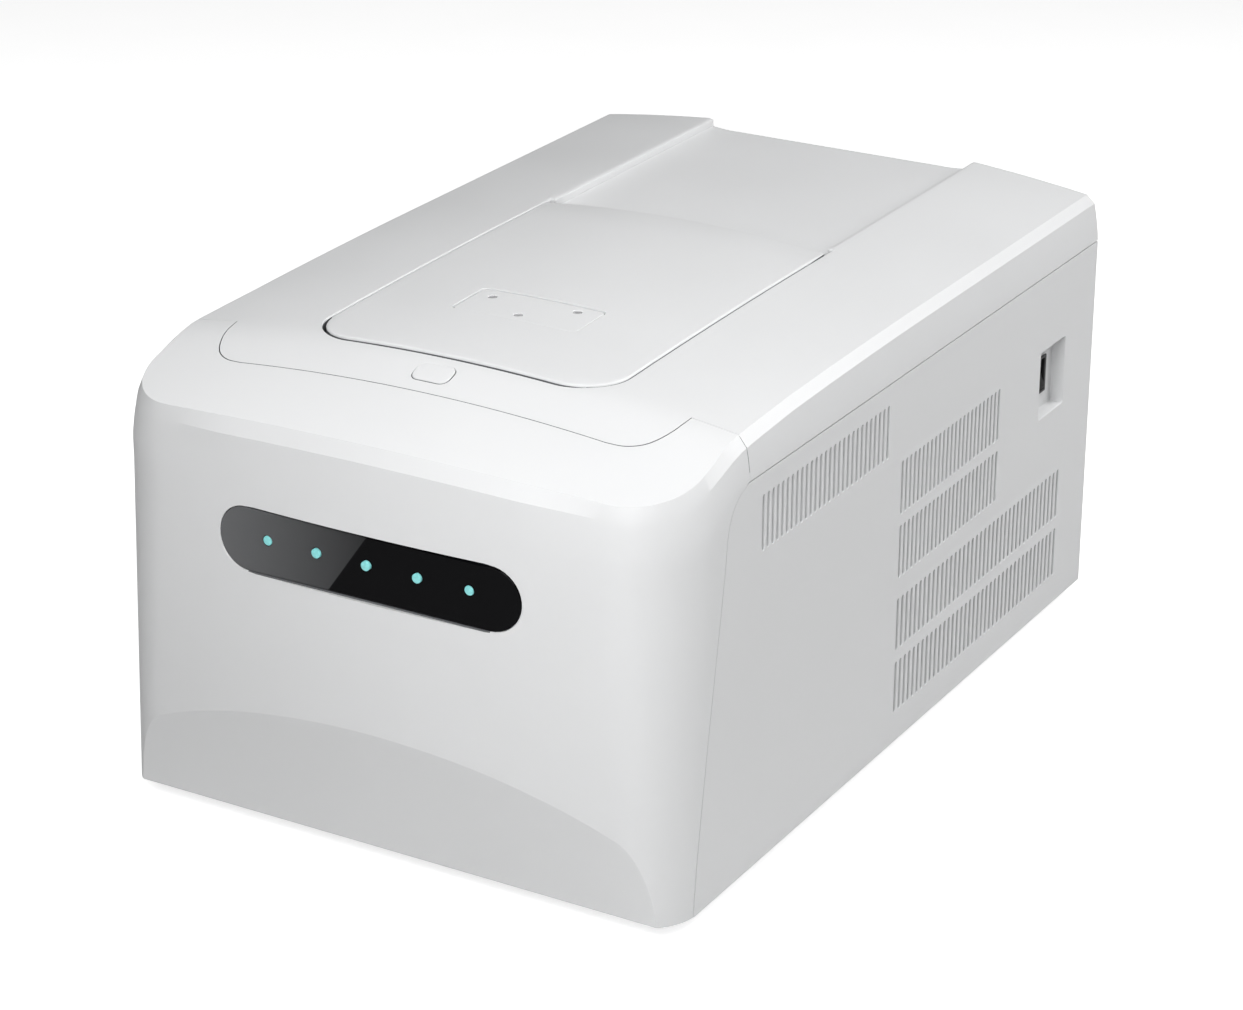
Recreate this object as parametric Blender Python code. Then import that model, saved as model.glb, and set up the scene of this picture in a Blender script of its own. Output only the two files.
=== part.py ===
"""Thermal cycler: a bench-top instrument with a hinged lid over a 96-well block. Metres, +Z up, front at -Y."""

import math

import bmesh
import bpy
from mathutils import Matrix, Vector

# ---------------------------------------------------------------- overall housing
WIDTH = 0.325
DEPTH = 0.492
HALF = WIDTH / 2
FRONT = -DEPTH / 2
BACK = DEPTH / 2
FOOT_HEIGHT = 0.008
BODY_BASE = FOOT_HEIGHT
WALL = 0.003
SEAM = 0.0004
SEAM_Z = 0.2154

CROWN_Z = 0.2525
CROWN = 0.475
DROOP_START = 0.032
DROOP = 0.088
SLOPE_START = -0.1717
SLOPE = 0.285

FRONT_BOW = 0.395
CORNER_TOP = 0.043
CORNER_BASE = 0.028
CORNER_TOP_Z = 0.185

# the edge chamfer: how far in from the plan outline it ends, and its height
CHAMFER_SIDE = (0.0080, 0.0046)
CHAMFER_FRONT = (0.0059, 0.0070)
CHAMFER_BLEND = (-0.118, -0.218)
# the walls lean inward by this much over this rise below the chamfer, but not at the middle of the front
LEAN = 0.0026
LEAN_RISE = 0.0212
LEAN_FROM_X = (0.085, 0.125)
KNEE_BLEND = (-0.170, -0.200)

CHIN_TOP = 0.0777
CHIN_RECESS = 0.0136

# side view of the edge where the front moulding meets the side panels, as (y, z)
FASCIA_EDGE = [
    (-0.2165, -0.010), (-0.2117, 0.0371), (-0.2030, 0.0936), (-0.1937, 0.1458), (-0.1880, 0.1790),
    (-0.1858, 0.1950), (-0.1815, 0.2055), (-0.1745, 0.2120), (-0.1668, 0.2154), (-0.1645, 0.2260),
    (-0.1630, 0.3100),
]
# right half of the tongue of the top cover that reaches into the front moulding, as (x, y)
TONGUE = [(0.1310, -0.1500), (0.1295, -0.1677), (0.1270, -0.1812), (0.1200, -0.1925), (0.1120, -0.1968),
          (0.1040, -0.1982)]

# ---------------------------------------------------------------- lid and the opening it closes
LID_HALF = 0.0854
LID_FRONT = -0.1690
LID_REAR = 0.0625
LID_CORNER = 0.026
LID_SKIRT = 0.0080
LID_GAP = 0.0011
OPEN_HALF = LID_HALF + LID_GAP
OPEN_FRONT = LID_FRONT - LID_GAP
COLLAR = 0.0025
COLLAR_BASE = 0.2060
HINGE_Y = 0.045
HINGE_Z = 0.236

DECK_TOP = 0.2438
DECK_FRONT = 0.0730
DECK_HALF = 0.0836
DECK_STEP = 0.0665
TROUGH_Z = 0.2110

# ---------------------------------------------------------------- block, lid heater and latch
BLOCK_Y = -0.065
BLOCK_SIZE = (0.128, 0.086)
BLOCK_TOP = 0.2125
BLOCK_BASE = 0.1891
WELL_PITCH = 0.009
BAY_TOP = 0.2105
BAY_BASE = 0.2080

BUTTON_Y = -0.1841
BUTTON_SIZE = (0.0207, 0.0126)
LATCH_Y = -0.1600
LATCH_Z = 0.1990

# ---------------------------------------------------------------- front indicator
PILL_X = -0.0012
PILL_Z = 0.1650
PILL_HALF = 0.0860
PILL_RADIUS = 0.0166
LIGHT_X = -0.0006
LIGHT_Z = 0.1667
LIGHT_PITCH = 0.0288
LIGHT_RADIUS = 0.0025

# ---------------------------------------------------------------- side panel
PANEL = 0.0025
# vent groups: first slot y, slot pitch, count, low z, high z
VENTS_RIGHT = [
    (-0.1517, 0.004926, 28, 0.1753, 0.2041),
    (0.0001, 0.004905, 25, 0.1385, 0.1681),
    (0.0001, 0.004905, 25, 0.1029, 0.1322),
    (0.0001, 0.005380, 39, 0.0617, 0.0909),
    (0.0001, 0.005380, 39, 0.0257, 0.0547),
]
VENTS_LEFT = VENTS_RIGHT[4:]
POCKET_Y = (0.1735, 0.2070)
POCKET_Z = (0.1314, 0.1711)
POCKET_DEPTH = 0.0075
SWITCH_Y = 0.1876
SWITCH_Z = 0.1522
SWITCH_PIVOT_X = 0.1515

# ---------------------------------------------------------------- rear panel
REAR_FACE = 0.2432
REAR_INNER = 0.2410
INLET = (0.105, 0.055)
PORT = (0.035, 0.055)
REAR_FAN = (-0.080, 0.112)

LOW = -0.30
HIGH = 0.30


# ================================================================ mesh helpers
def reset():
    for item in list(bpy.data.objects):
        bpy.data.objects.remove(item, do_unlink=True)
    for mesh in list(bpy.data.meshes):
        bpy.data.meshes.remove(mesh)


def material(name, colour, roughness, metallic=0.0):
    """A plain Principled material."""
    made = bpy.data.materials.new(name)
    made.use_nodes = True
    shader = made.node_tree.nodes["Principled BSDF"]
    shader.inputs["Base Color"].default_value = (*colour, 1.0)
    shader.inputs["Roughness"].default_value = roughness
    shader.inputs["Metallic"].default_value = metallic
    return made


def solid(verts, faces, name="shape"):
    mesh = bpy.data.meshes.new(name)
    mesh.from_pydata([tuple(v) for v in verts], [], [tuple(f) for f in faces])
    work = bmesh.new()
    work.from_mesh(mesh)
    bmesh.ops.recalc_face_normals(work, faces=work.faces)
    work.to_mesh(mesh)
    work.free()
    made = bpy.data.objects.new(name, mesh)
    bpy.context.scene.collection.objects.link(made)
    return made


def loft(rings):
    """A closed body through rings of equal length, with flat caps."""
    count = len(rings[0])
    verts = [point for ring in rings for point in ring]
    faces = []
    for level in range(len(rings) - 1):
        for i in range(count):
            j = (i + 1) % count
            low = level * count
            faces.append((low + i, low + j, low + count + j, low + count + i))
    faces.append(range(count - 1, -1, -1))
    faces.append(range((len(rings) - 1) * count, len(rings) * count))
    return solid(verts, faces)


def place(point, axis, along):
    """A 2-D point set on the plane across an axis, at the given distance along it."""
    u, v = point
    if axis == "X":
        return (along, u, v)
    if axis == "Y":
        return (u, along, v)
    return (u, v, along)


def prism(points, axis, low, high):
    return loft([[place(p, axis, low) for p in points], [place(p, axis, high) for p in points]])


def box(low, high):
    (x0, y0, z0), (x1, y1, z1) = low, high
    return prism([(x0, y0), (x1, y0), (x1, y1), (x0, y1)], "Z", z0, z1)


def circle(centre, radius, count, start=0.0, sweep=2 * math.pi):
    steps = count if abs(sweep - 2 * math.pi) < 1e-6 else count - 1
    angles = [start + sweep * i / steps for i in range(count)]
    return [(centre[0] + radius * math.cos(a), centre[1] + radius * math.sin(a)) for a in angles]


def cylinder(centre, axis, radius, low, high, count=24):
    return prism(circle(centre, radius, count), axis, low, high)


def rounded(x0, y0, x1, y1, radius, count=4):
    """A rectangle with round corners, anticlockwise."""
    quarter = math.pi / 2
    points = []
    for (cx, cy), start in (
        ((x1 - radius, y0 + radius), -quarter),
        ((x1 - radius, y1 - radius), 0.0),
        ((x0 + radius, y1 - radius), quarter),
        ((x0 + radius, y0 + radius), 2 * quarter),
    ):
        points += circle((cx, cy), radius, count, start, quarter)
    return points


def combine(target, tool, operation):
    """Apply an exact Boolean to the target and drop the tool."""
    step = target.modifiers.new("cut", "BOOLEAN")
    step.operation = operation
    step.solver = "EXACT"
    step.object = tool
    evaluated = target.evaluated_get(bpy.context.evaluated_depsgraph_get())
    mesh = bpy.data.meshes.new_from_object(evaluated)
    target.modifiers.clear()
    target.data = mesh
    bpy.data.objects.remove(tool, do_unlink=True)
    return target


def minus(target, *tools):
    for tool in tools:
        combine(target, tool, "DIFFERENCE")
    return target


def plus(target, *tools):
    for tool in tools:
        combine(target, tool, "UNION")
    return target


def within(target, tool):
    return combine(target, tool, "INTERSECT")


def several(bodies):
    """Many separate closed bodies held in one object, for use as a cutter."""
    verts = []
    faces = []
    for body in bodies:
        start = len(verts)
        verts += [v.co.copy() for v in body.data.vertices]
        faces += [[start + i for i in face.vertices] for face in body.data.polygons]
        bpy.data.objects.remove(body, do_unlink=True)
    return solid(verts, faces)


def finish(body, name, mat, origin=None, crease=35.0):
    """Name a finished piece, move its origin to its joint and shade it."""
    body.name = name
    body.data.name = name
    work = bmesh.new()
    work.from_mesh(body.data)
    bmesh.ops.remove_doubles(work, verts=work.verts, dist=0.00001)
    bmesh.ops.dissolve_degenerate(work, edges=work.edges, dist=0.00001)
    bmesh.ops.recalc_face_normals(work, faces=work.faces)
    if origin:
        bmesh.ops.translate(work, verts=work.verts, vec=-Vector(origin))
        body.location = origin
    work.to_mesh(body.data)
    work.free()
    body.data.materials.clear()
    body.data.materials.append(mat)
    body.data.shade_smooth()
    body.data.set_sharp_from_angle(angle=math.radians(crease))
    return body


# ================================================================ housing surfaces
def top_height(x, y):
    """Height of the crowned top of the housing, drooping and then sloping down to the front."""
    droop = max(0.0, DROOP_START - y)
    slope = max(0.0, SLOPE_START - y)
    return CROWN_Z - CROWN * x * x - DROOP * droop * droop - SLOPE * slope


def plan(inset, corner, arc=8, bow=8):
    """Plan outline of the housing from the right rear corner round the front to the left rear corner."""
    half = HALF - inset
    radius = corner - inset
    centre_x = half - radius
    join = centre_x
    for _ in range(12):
        angle = math.atan(2 * FRONT_BOW * join)
        join = centre_x + radius * math.sin(angle)
    centre_y = FRONT + inset + FRONT_BOW * join * join + radius * math.cos(angle)
    side = []
    for i in range(arc):
        turn = math.pi / 2 + (angle - math.pi / 2) * i / (arc - 1)
        side.append((centre_x + radius * math.sin(turn), centre_y - radius * math.cos(turn)))
    front = []
    for i in range(1, bow):
        x = join * (1 - 2 * i / bow)
        front.append((x, FRONT + inset + FRONT_BOW * x * x))
    left = [(-x, y) for x, y in reversed(side)]
    stations = [BACK - inset, DROOP_START, -0.06, -0.118, -0.140, -0.160, -0.178]
    right = [(half, y) for y in stations]
    return right + side + front + left + [(-x, y) for x, y in reversed(right)]


def inward(points, index):
    """Unit vector into the housing at one point of a plan outline."""
    if index in (0, len(points) - 1):
        return Vector((-math.copysign(1.0, points[index][0]), 0.0))
    before = Vector(points[index - 1])
    after = Vector(points[index + 1])
    along = (after - before).normalized()
    return Vector((along.y, -along.x))


def chamfer(y):
    """Reach and height of the edge chamfer at a point of the plan."""
    t = ramp(y, *CHAMFER_BLEND)
    reach = CHAMFER_SIDE[0] + (CHAMFER_FRONT[0] - CHAMFER_SIDE[0]) * t
    height = CHAMFER_SIDE[1] + (CHAMFER_FRONT[1] - CHAMFER_SIDE[1]) * t
    return reach, height


def ramp(value, start, end):
    """0 before the start, 1 past the end, straight between them."""
    return min(1.0, max(0.0, (value - start) / (end - start)))


def knee_height(y, rim):
    """Where the wall starts to lean: at the seam along the sides, a fixed rise below the rim in front."""
    lower = ramp(y, *KNEE_BLEND)
    return min(SEAM_Z + (rim - LEAN_RISE - SEAM_Z) * lower, rim - 0.001)


def crown_block(drop):
    """Everything below the crowned top surface, lowered by a distance."""
    xs = [-0.18 + 0.36 * i / 12 for i in range(13)]
    ys = [0.31, DROOP_START, -0.03, -0.09, -0.135, SLOPE_START, -0.31]
    top = [[(x, y, top_height(x, y) - drop) for x in xs] for y in ys]
    verts = [p for row in top for p in row] + [(x, y, -0.05) for y in ys for x in xs]
    wide = len(xs)
    tall = len(ys)
    base = wide * tall
    faces = []
    for r in range(tall - 1):
        for c in range(wide - 1):
            a = r * wide + c
            faces.append((a, a + 1, a + wide + 1, a + wide))
            faces.append((base + a, base + a + wide, base + a + wide + 1, base + a + 1))
    for r in range(tall - 1):
        for c in (0, wide - 1):
            a = r * wide + c
            faces.append((a, a + wide, base + a + wide, base + a))
    for c in range(wide - 1):
        for r in (0, tall - 1):
            a = r * wide + c
            faces.append((a, a + 1, base + a + 1, base + a))
    return solid(verts, faces)


def envelope(inset, base):
    """The whole housing as one block, its walls moved inward by an inset."""
    upper = plan(inset, CORNER_TOP)
    knee = []
    rim = []
    beyond = []
    for i, (x, y) in enumerate(upper):
        reach, height = chamfer(y)
        into = inward(upper, i)
        start = Vector((x, y))
        inner = start + into * reach
        top = top_height(inner.x, inner.y) - inset - height
        foot = knee_height(y, top)
        edge = start + into * (LEAN * ramp(abs(x), *LEAN_FROM_X) * ramp(top, foot, foot + LEAN_RISE))
        past = edge + (inner - edge) * 1.6
        knee.append((x, y, foot))
        rim.append((edge.x, edge.y, top))
        beyond.append((past.x, past.y, top + height * 1.6))
    if base < CORNER_TOP_Z:
        walls = [[(x, y, base) for x, y in plan(inset, CORNER_BASE)], [(x, y, CORNER_TOP_Z) for x, y in upper]]
    else:
        walls = [[(x, y, base) for x, y in upper]]
    high = [(x, y, HIGH) for x, y, _ in beyond]
    return within(loft(walls + [knee, rim, beyond, high]), crown_block(inset))


def chin(inset):
    """What is cut away below the front face: a slanting undercut that rises to an arch."""
    steps = 6
    face = []
    for i in range(steps + 1):
        z = CHIN_TOP * (1 - i / steps) + BODY_BASE * i / steps
        t = (z - BODY_BASE) / (CHIN_TOP - BODY_BASE)
        face.append((FRONT + CHIN_RECESS * (1 - t ** 1.6) + inset, z))
    face.append((face[-1][0], LOW))
    points = [(FRONT - 0.05, CHIN_TOP + 0.004), (FRONT - 0.002 + inset, CHIN_TOP + 0.004)] + face
    points.append((FRONT - 0.05, LOW))
    return prism(points, "X", LOW, HIGH)


def behind_edge(gap, low, high):
    """Everything behind the front moulding's edge, between two heights."""
    edge = [(y + gap, z) for y, z in FASCIA_EDGE]
    y_low = interpolate(edge, low)
    y_high = interpolate(edge, high)
    inside = [(y, z) for y, z in edge if low < z < high]
    return [(y_low, low)] + inside + [(y_high, high), (HIGH, high), (HIGH, low)]


def interpolate(edge, z):
    for (y0, z0), (y1, z1) in zip(edge[:-1], edge[1:]):
        if z0 <= z <= z1:
            return y0 + (y1 - y0) * (z - z0) / (z1 - z0)
    return edge[-1][0]


def tongue(grow, low):
    """The tongue of the top cover, as an upright prism."""
    right = [(x + grow, y - grow) for x, y in TONGUE]
    right[0] = (right[0][0], TONGUE[0][1] + 0.02)
    left = [(-x, y) for x, y in reversed(right)]
    return prism(right + left, "Z", low, HIGH)


def opening(grow, rear):
    """Plan of the lid opening and the narrower sunken strip behind it, front corners round."""
    half = OPEN_HALF + grow
    front = OPEN_FRONT - grow
    radius = LID_CORNER + LID_GAP + grow
    right = circle((half - radius, front + radius), radius, 6, -math.pi / 2, math.pi / 2)
    narrow = DECK_HALF + grow
    step = DECK_STEP + grow
    right += [(half, step), (narrow, step), (narrow, rear)] if rear > step else [(half, rear)]
    left = [(-x, y) for x, y in reversed(right)]
    return right + left


def stadium(half, radius, grow=0.0, count=9):
    """A pill outline about the origin."""
    right = circle((half - radius, 0.0), radius + grow, count, -math.pi / 2, math.pi)
    left = circle((radius - half, 0.0), radius + grow, count, math.pi / 2, math.pi)
    return right + left


# ================================================================ housing pieces
def front_fascia(mat):
    body = minus(envelope(0.0, BODY_BASE), chin(0.0))
    edge = [(y, z) for y, z in FASCIA_EDGE]
    region = prism([(LOW, -0.010)] + edge + [(LOW, edge[-1][1])], "X", LOW, HIGH)
    within(body, region)
    hollow = minus(envelope(WALL, BODY_BASE - 0.01), chin(WALL))
    minus(body, hollow, tongue(SEAM, SEAM_Z))
    window = [(x + PILL_X, z + PILL_Z) for x, z in stadium(PILL_HALF, PILL_RADIUS, 0.0003)]
    minus(body, prism(window, "Y", LOW, FRONT + 0.02))
    return finish(body, "front_fascia", mat, crease=12.5)


def top_cover(mat):
    body = envelope(0.0, CORNER_TOP_Z)
    region = plus(prism(behind_edge(SEAM, COLLAR_BASE, 0.305), "X", LOW, HIGH), tongue(0.0, COLLAR_BASE))
    within(body, region)
    void = envelope(WALL, CORNER_TOP_Z)
    plus(void, box((LOW, LOW, 0.19), (HIGH, HIGH, SEAM_Z + SEAM)))
    minus(void, prism(opening(COLLAR, HIGH), "Z", 0.15, HIGH))
    minus(body, void)
    minus(body, prism(opening(0.0, BACK - WALL - 0.0004), "Z", 0.15, HIGH))
    minus(body, box((-DECK_HALF, 0.2, DECK_TOP - 0.0034), (DECK_HALF, HIGH, HIGH)))
    minus(body, button_outline(0.0004, 0.15, HIGH))
    minus(body, box((LOW, REAR_INNER - 0.002, 0.15), (HIGH, HIGH, SEAM_Z + SEAM)))
    return finish(body, "top_cover", mat, crease=12.5)


def button_outline(grow, low, high):
    dx = BUTTON_SIZE[0] / 2 + grow
    dy = BUTTON_SIZE[1] / 2 + grow
    return prism(rounded(-dx, BUTTON_Y - dy, dx, BUTTON_Y + dy, 0.0045 + grow), "Z", low, high)


def rear_deck(mat):
    """Sunken strip behind the lid, with the trough that the lid's rear edge swings down into."""
    half = DECK_HALF - 0.0004
    profile = [
        (0.0335, TROUGH_Z), (DECK_FRONT + PANEL, TROUGH_Z), (DECK_FRONT + PANEL, DECK_TOP - 0.003),
        (BACK - 0.0003, DECK_TOP - 0.003), (BACK - 0.0003, DECK_TOP), (DECK_FRONT, DECK_TOP),
        (DECK_FRONT, TROUGH_Z + PANEL), (0.0335, TROUGH_Z + PANEL),
    ]
    return finish(prism(profile, "X", -half, half), "rear_deck", mat)


def slot_cutters(groups, x_low, x_high):
    cutters = []
    for start, pitch, count, low, high in groups:
        for i in range(count):
            y = start + i * pitch
            cutters.append(box((x_low, y, low), (x_high, y + pitch / 2, high)))
    return several(cutters)


def side_panel(mat, side):
    """A flat lower side wall. The right one has more vents and the recess for the power switch."""
    outline = behind_edge(SEAM, BODY_BASE, SEAM_Z - SEAM)
    outline[-2] = (BACK, outline[-2][1])
    outline[-1] = (BACK, outline[-1][1])
    body = prism(outline, "X", HALF - PANEL, HALF)
    if side > 0:
        wall = 0.002
        (y0, y1), (z0, z1) = POCKET_Y, POCKET_Z
        floor_x = HALF - POCKET_DEPTH
        plus(body, box((floor_x - wall, y0 - wall, z0 - wall), (HALF - 0.0005, y1 + wall, z1 + wall)))
        recess = [(HIGH, y0), (floor_x, y0), (floor_x, y1 - 0.0015), (floor_x + 0.0015, y1), (HIGH, y1)]
        recess_body = prism(recess, "Z", z0, z1)
        minus(body, recess_body)
        minus(body, box((0.1, SWITCH_Y - 0.0069, SWITCH_Z - 0.0103), (0.16, SWITCH_Y + 0.0069, SWITCH_Z + 0.0103)))
    minus(body, slot_cutters(VENTS_RIGHT if side > 0 else VENTS_LEFT, HALF - 0.01, HALF + 0.01))
    if side < 0:
        body.data.transform(Matrix.Scale(-1, 4, (1, 0, 0)))
    return finish(body, "right_side_panel" if side > 0 else "left_side_panel", mat)


def rear_panel(mat):
    x = HALF - PANEL - 0.0004
    body = box((-x, REAR_INNER, BODY_BASE + 0.0033), (x, REAR_FACE, SEAM_Z - 0.0004))
    cutters = []
    for i in range(9):
        z = REAR_FAN[1] + (i - 4) * 0.008
        reach = math.sqrt(0.037 ** 2 - ((i - 4) * 0.008) ** 2)
        cutters.append(box((REAR_FAN[0] - reach, 0.2, z - 0.002), (REAR_FAN[0] + reach, 0.3, z + 0.002)))
    for (px, pz), (dx, dz) in ((INLET, (0.0138, 0.0103)), (PORT, (0.0063, 0.0058))):
        cutters.append(box((px - dx, 0.2, pz - dz), (px + dx, 0.3, pz + dz)))
    cutters.append(box((INLET[0] - 0.0138, 0.2, INLET[1] + 0.0157), (INLET[0] + 0.0138, 0.3, INLET[1] + 0.0263)))
    for sx, sz in rear_screw_places():
        cutters.append(cylinder((sx, sz), "Y", 0.0018, 0.2, 0.3, 12))
    return finish(minus(body, several(cutters)), "rear_panel", mat)


def rear_screw_places():
    return [(sx * 0.150, z) for sx in (-1, 1) for z in (0.022, 0.204)]


def rear_screws(mat):
    made = []
    for number, (x, z) in enumerate(rear_screw_places(), 1):
        head = cylinder((x, z), "Y", 0.0034, REAR_FACE + 0.0001, REAR_FACE + 0.0018, 12)
        shank = cylinder((x, z), "Y", 0.0015, REAR_INNER - 0.004, REAR_FACE + 0.0006, 8)
        made.append(finish(plus(head, shank), "rear_screw_%d" % number, mat))
    return made


def base_plate(mat):
    """Floor of the housing, inside the front moulding and the side walls."""
    y0 = FRONT + CHIN_RECESS + WALL + 0.0006
    x = HALF - PANEL - 0.0004
    points = [(x, REAR_INNER - 0.0004), (x, FRONT + CORNER_BASE + 0.012), (x - 0.003, FRONT + CORNER_BASE),
              (x - 0.010, y0), (-x + 0.010, y0), (-x + 0.003, FRONT + CORNER_BASE),
              (-x, FRONT + CORNER_BASE + 0.012), (-x, REAR_INNER - 0.0004)]
    body = prism(points, "Z", BODY_BASE + 0.0002, BODY_BASE + 0.0028)
    return finish(body, "base_plate", mat)


def feet(mat):
    made = []
    for name, x, y in (("front_left", -0.125, -0.185), ("front_right", 0.125, -0.185),
                       ("rear_left", -0.125, 0.205), ("rear_right", 0.125, 0.205)):
        rings = [(0.0088, 0.0), (0.0098, 0.0012), (0.0104, BODY_BASE - 0.0002)]
        body = loft([[(px, py, z) for px, py in circle((x, y), r, 16)] for r, z in rings])
        made.append(finish(body, "foot_" + name, mat))
    return made


# ================================================================ front indicator
def front_y(x):
    return FRONT + FRONT_BOW * x * x


def indicator_window(mat):
    outline = [(x + PILL_X, z + PILL_Z) for x, z in stadium(PILL_HALF, PILL_RADIUS)]
    body = within(prism(outline, "Y", LOW, FRONT + 0.02), envelope(0.0001, 0.10))
    minus(body, envelope(WALL, 0.09))
    holes = [cylinder((x, LIGHT_Z), "Y", LIGHT_RADIUS + 0.0002, LOW, 0.0, 12) for x in light_places()]
    return finish(minus(body, several(holes)), "indicator_window", mat)


def light_places():
    return [LIGHT_X + i * LIGHT_PITCH for i in range(-2, 3)]


def indicator_lights(mat):
    made = []
    for number, x in enumerate(light_places(), 1):
        body = cylinder((x, LIGHT_Z), "Y", LIGHT_RADIUS, front_y(x) + 0.0004, FRONT + 0.0098, 12)
        made.append(finish(body, "indicator_light_%d" % number, mat))
    return made


def indicator_board(mat):
    body = box((-0.080, FRONT + 0.0100, PILL_Z - 0.014), (0.080, FRONT + 0.0116, PILL_Z + 0.014))
    return finish(body, "indicator_board", mat)


# ================================================================ lid
def lid_outline(inset):
    """Plan of the lid: round front corners, rear edge bowed outward a little."""
    half = LID_HALF - inset
    front = LID_FRONT + inset
    radius = LID_CORNER - inset
    right = circle((half - radius, front + radius), radius, 6, -math.pi / 2, math.pi / 2)
    rear = []
    for i in range(7):
        x = half * (1 - i / 3)
        rear.append((x, LID_REAR - inset - 0.38 * x * x))
    left = [(-x, y) for x, y in reversed(right)]
    return right + rear + left


def plate_outline(grow=0.0):
    return rounded(-0.036 - grow, -0.1125 - grow, 0.036 + grow, -0.0812 + grow, 0.003 + grow, 3)


def lid_panel(mat):
    body = within(prism(lid_outline(0.0), "Z", 0.1, HIGH), crown_block(0.0))
    minus(body, crown_block(LID_SKIRT))
    minus(body, within(prism(lid_outline(0.0025), "Z", 0.1, HIGH), crown_block(WALL)))
    minus(body, minus(prism(plate_outline(0.0003), "Z", 0.1, HIGH), crown_block(0.0014)))
    return finish(body, "lid_panel", mat, (0.0, HINGE_Y, HINGE_Z))


LID_SCREWS = [(-0.0259, -0.0897), (0.0230, -0.0881), (-0.0007, -0.1059)]


def lid_access_plate(mat):
    body = within(prism(plate_outline(), "Z", 0.1, HIGH), crown_block(0.0001))
    minus(body, crown_block(0.0011))
    holes = [cylinder(place_at, "Z", 0.0023, 0.1, HIGH, 16) for place_at in LID_SCREWS]
    return finish(minus(body, several(holes)), "lid_access_plate", mat, (0.0, HINGE_Y, HINGE_Z))


def lid_screws(mat):
    made = []
    for number, (x, y) in enumerate(LID_SCREWS, 1):
        top = top_height(x, y) - 0.0003
        body = cylinder((x, y), "Z", 0.0020, top - 0.0009, top, 12)
        minus(body, cylinder((x, y), "Z", 0.0010, top - 0.0005, HIGH, 6))
        made.append(finish(body, "lid_screw_%d" % number, mat, (0.0, HINGE_Y, HINGE_Z)))
    return made


FRAME_Z = (0.2300, 0.2420)
POSTS = [(sx * 0.045, BLOCK_Y + sy * 0.030) for sx in (-1, 1) for sy in (-1, 1)]
LID_SPRINGS = {"left": -0.052, "right": 0.052}


def lid_inner_frame(mat):
    """Carrier under the lid skin with two hinge lugs, post holes and spring pockets."""
    body = prism(rounded(-0.078, -0.160, 0.078, 0.030, 0.020, 5), "Z", *FRAME_Z)
    for x0 in (-0.070, 0.062):
        lug = [(0.0, FRAME_Z[0] + 0.0005), (HINGE_Y, HINGE_Z - 0.0055)]
        lug += circle((HINGE_Y, HINGE_Z), 0.0055, 9, -math.pi / 2, math.pi)[1:-1]
        lug += [(HINGE_Y, HINGE_Z + 0.0055), (0.0, FRAME_Z[1] - 0.0005)]
        plus(body, prism(lug, "X", x0, x0 + 0.008))
    bore = 0.0031 / math.cos(math.pi / 24)
    holes = [cylinder((HINGE_Y, HINGE_Z), "X", bore, -0.08, 0.08, 24)]
    minus(body, *holes)
    pockets = [cylinder(post, "Z", 0.0026, 0.2, 0.3, 12) for post in POSTS]
    pockets += [cylinder((x, BLOCK_Y), "Z", 0.0058, 0.2, 0.2390, 16) for x in LID_SPRINGS.values()]
    minus(body, several(pockets))
    return finish(body, "lid_inner_frame", mat, (0.0, HINGE_Y, HINGE_Z))


def strike_plate(mat):
    """Steel plate under the front of the lid that the latch magnet holds."""
    low = box((-0.010, -0.1575, 0.2150), (0.010, -0.1555, 0.2298))
    plus(low, box((-0.010, -0.1575, 0.2278), (0.010, -0.1480, 0.2298)))
    return finish(low, "strike_plate", mat, (0.0, HINGE_Y, HINGE_Z))


def heated_plate(mat):
    """Aluminium pressure plate that rests on the tubes, on four guide posts."""
    x = 0.060
    y = 0.042
    body = prism(rounded(-x, BLOCK_Y - y, x, BLOCK_Y + y, 0.004, 3), "Z", 0.2215, 0.2275)
    for post in POSTS:
        plus(body, cylinder(post, "Z", 0.0020, 0.2270, 0.2385, 12))
    return finish(body, "heated_plate", mat, (0.0, BLOCK_Y, 0.2215))


def coil(centre, low, high, radius, wire, turns, name, mat, around=7, ring=4):
    """A helical compression spring about a vertical line."""
    steps = int(turns * around)
    rings = []
    start = low + wire
    rise = high - low - 2 * wire
    for i in range(steps + 1):
        a = 2 * math.pi * turns * i / steps
        out = Vector((math.cos(a), math.sin(a), 0.0))
        middle = Vector((centre[0], centre[1], start + rise * i / steps)) + out * radius
        points = []
        for j in range(ring):
            b = 2 * math.pi * j / ring + 0.3
            points.append(middle + out * (wire * math.cos(b)) + Vector((0.0, 0.0, wire * math.sin(b))))
        rings.append(points)
    return finish(loft(rings), name, mat)


def lid_springs(mat):
    return [coil((x, BLOCK_Y), 0.2278, 0.2387, 0.0044, 0.00045, 3.5, "lid_spring_" + side, mat)
            for side, x in LID_SPRINGS.items()]


def hinge_parts(mat_bracket, mat_pin):
    """Two fixed ears beside the lid's lugs, and the pins they hold."""
    made = []
    tight = 0.00303 / math.cos(math.pi / 24)
    for side, sign in (("left", -1), ("right", 1)):
        ear = [(HINGE_Y - 0.008, TROUGH_Z + PANEL + 0.0003), (HINGE_Y + 0.008, TROUGH_Z + PANEL + 0.0003)]
        ear += circle((HINGE_Y, HINGE_Z), 0.0055, 9, 0.0, math.pi)
        x0, x1 = sorted((sign * 0.0710, sign * 0.0760))
        body = minus(prism(ear, "X", x0, x1), cylinder((HINGE_Y, HINGE_Z), "X", tight, -0.1, 0.1, 24))
        made.append(finish(body, "hinge_bracket_" + side, mat_bracket))
        x0, x1 = sorted((sign * 0.0605, sign * 0.0780))
        pin = cylinder((HINGE_Y, HINGE_Z), "X", 0.0030, x0, x1, 24)
        made.append(finish(pin, "hinge_pin_" + side, mat_pin))
    return made


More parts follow.
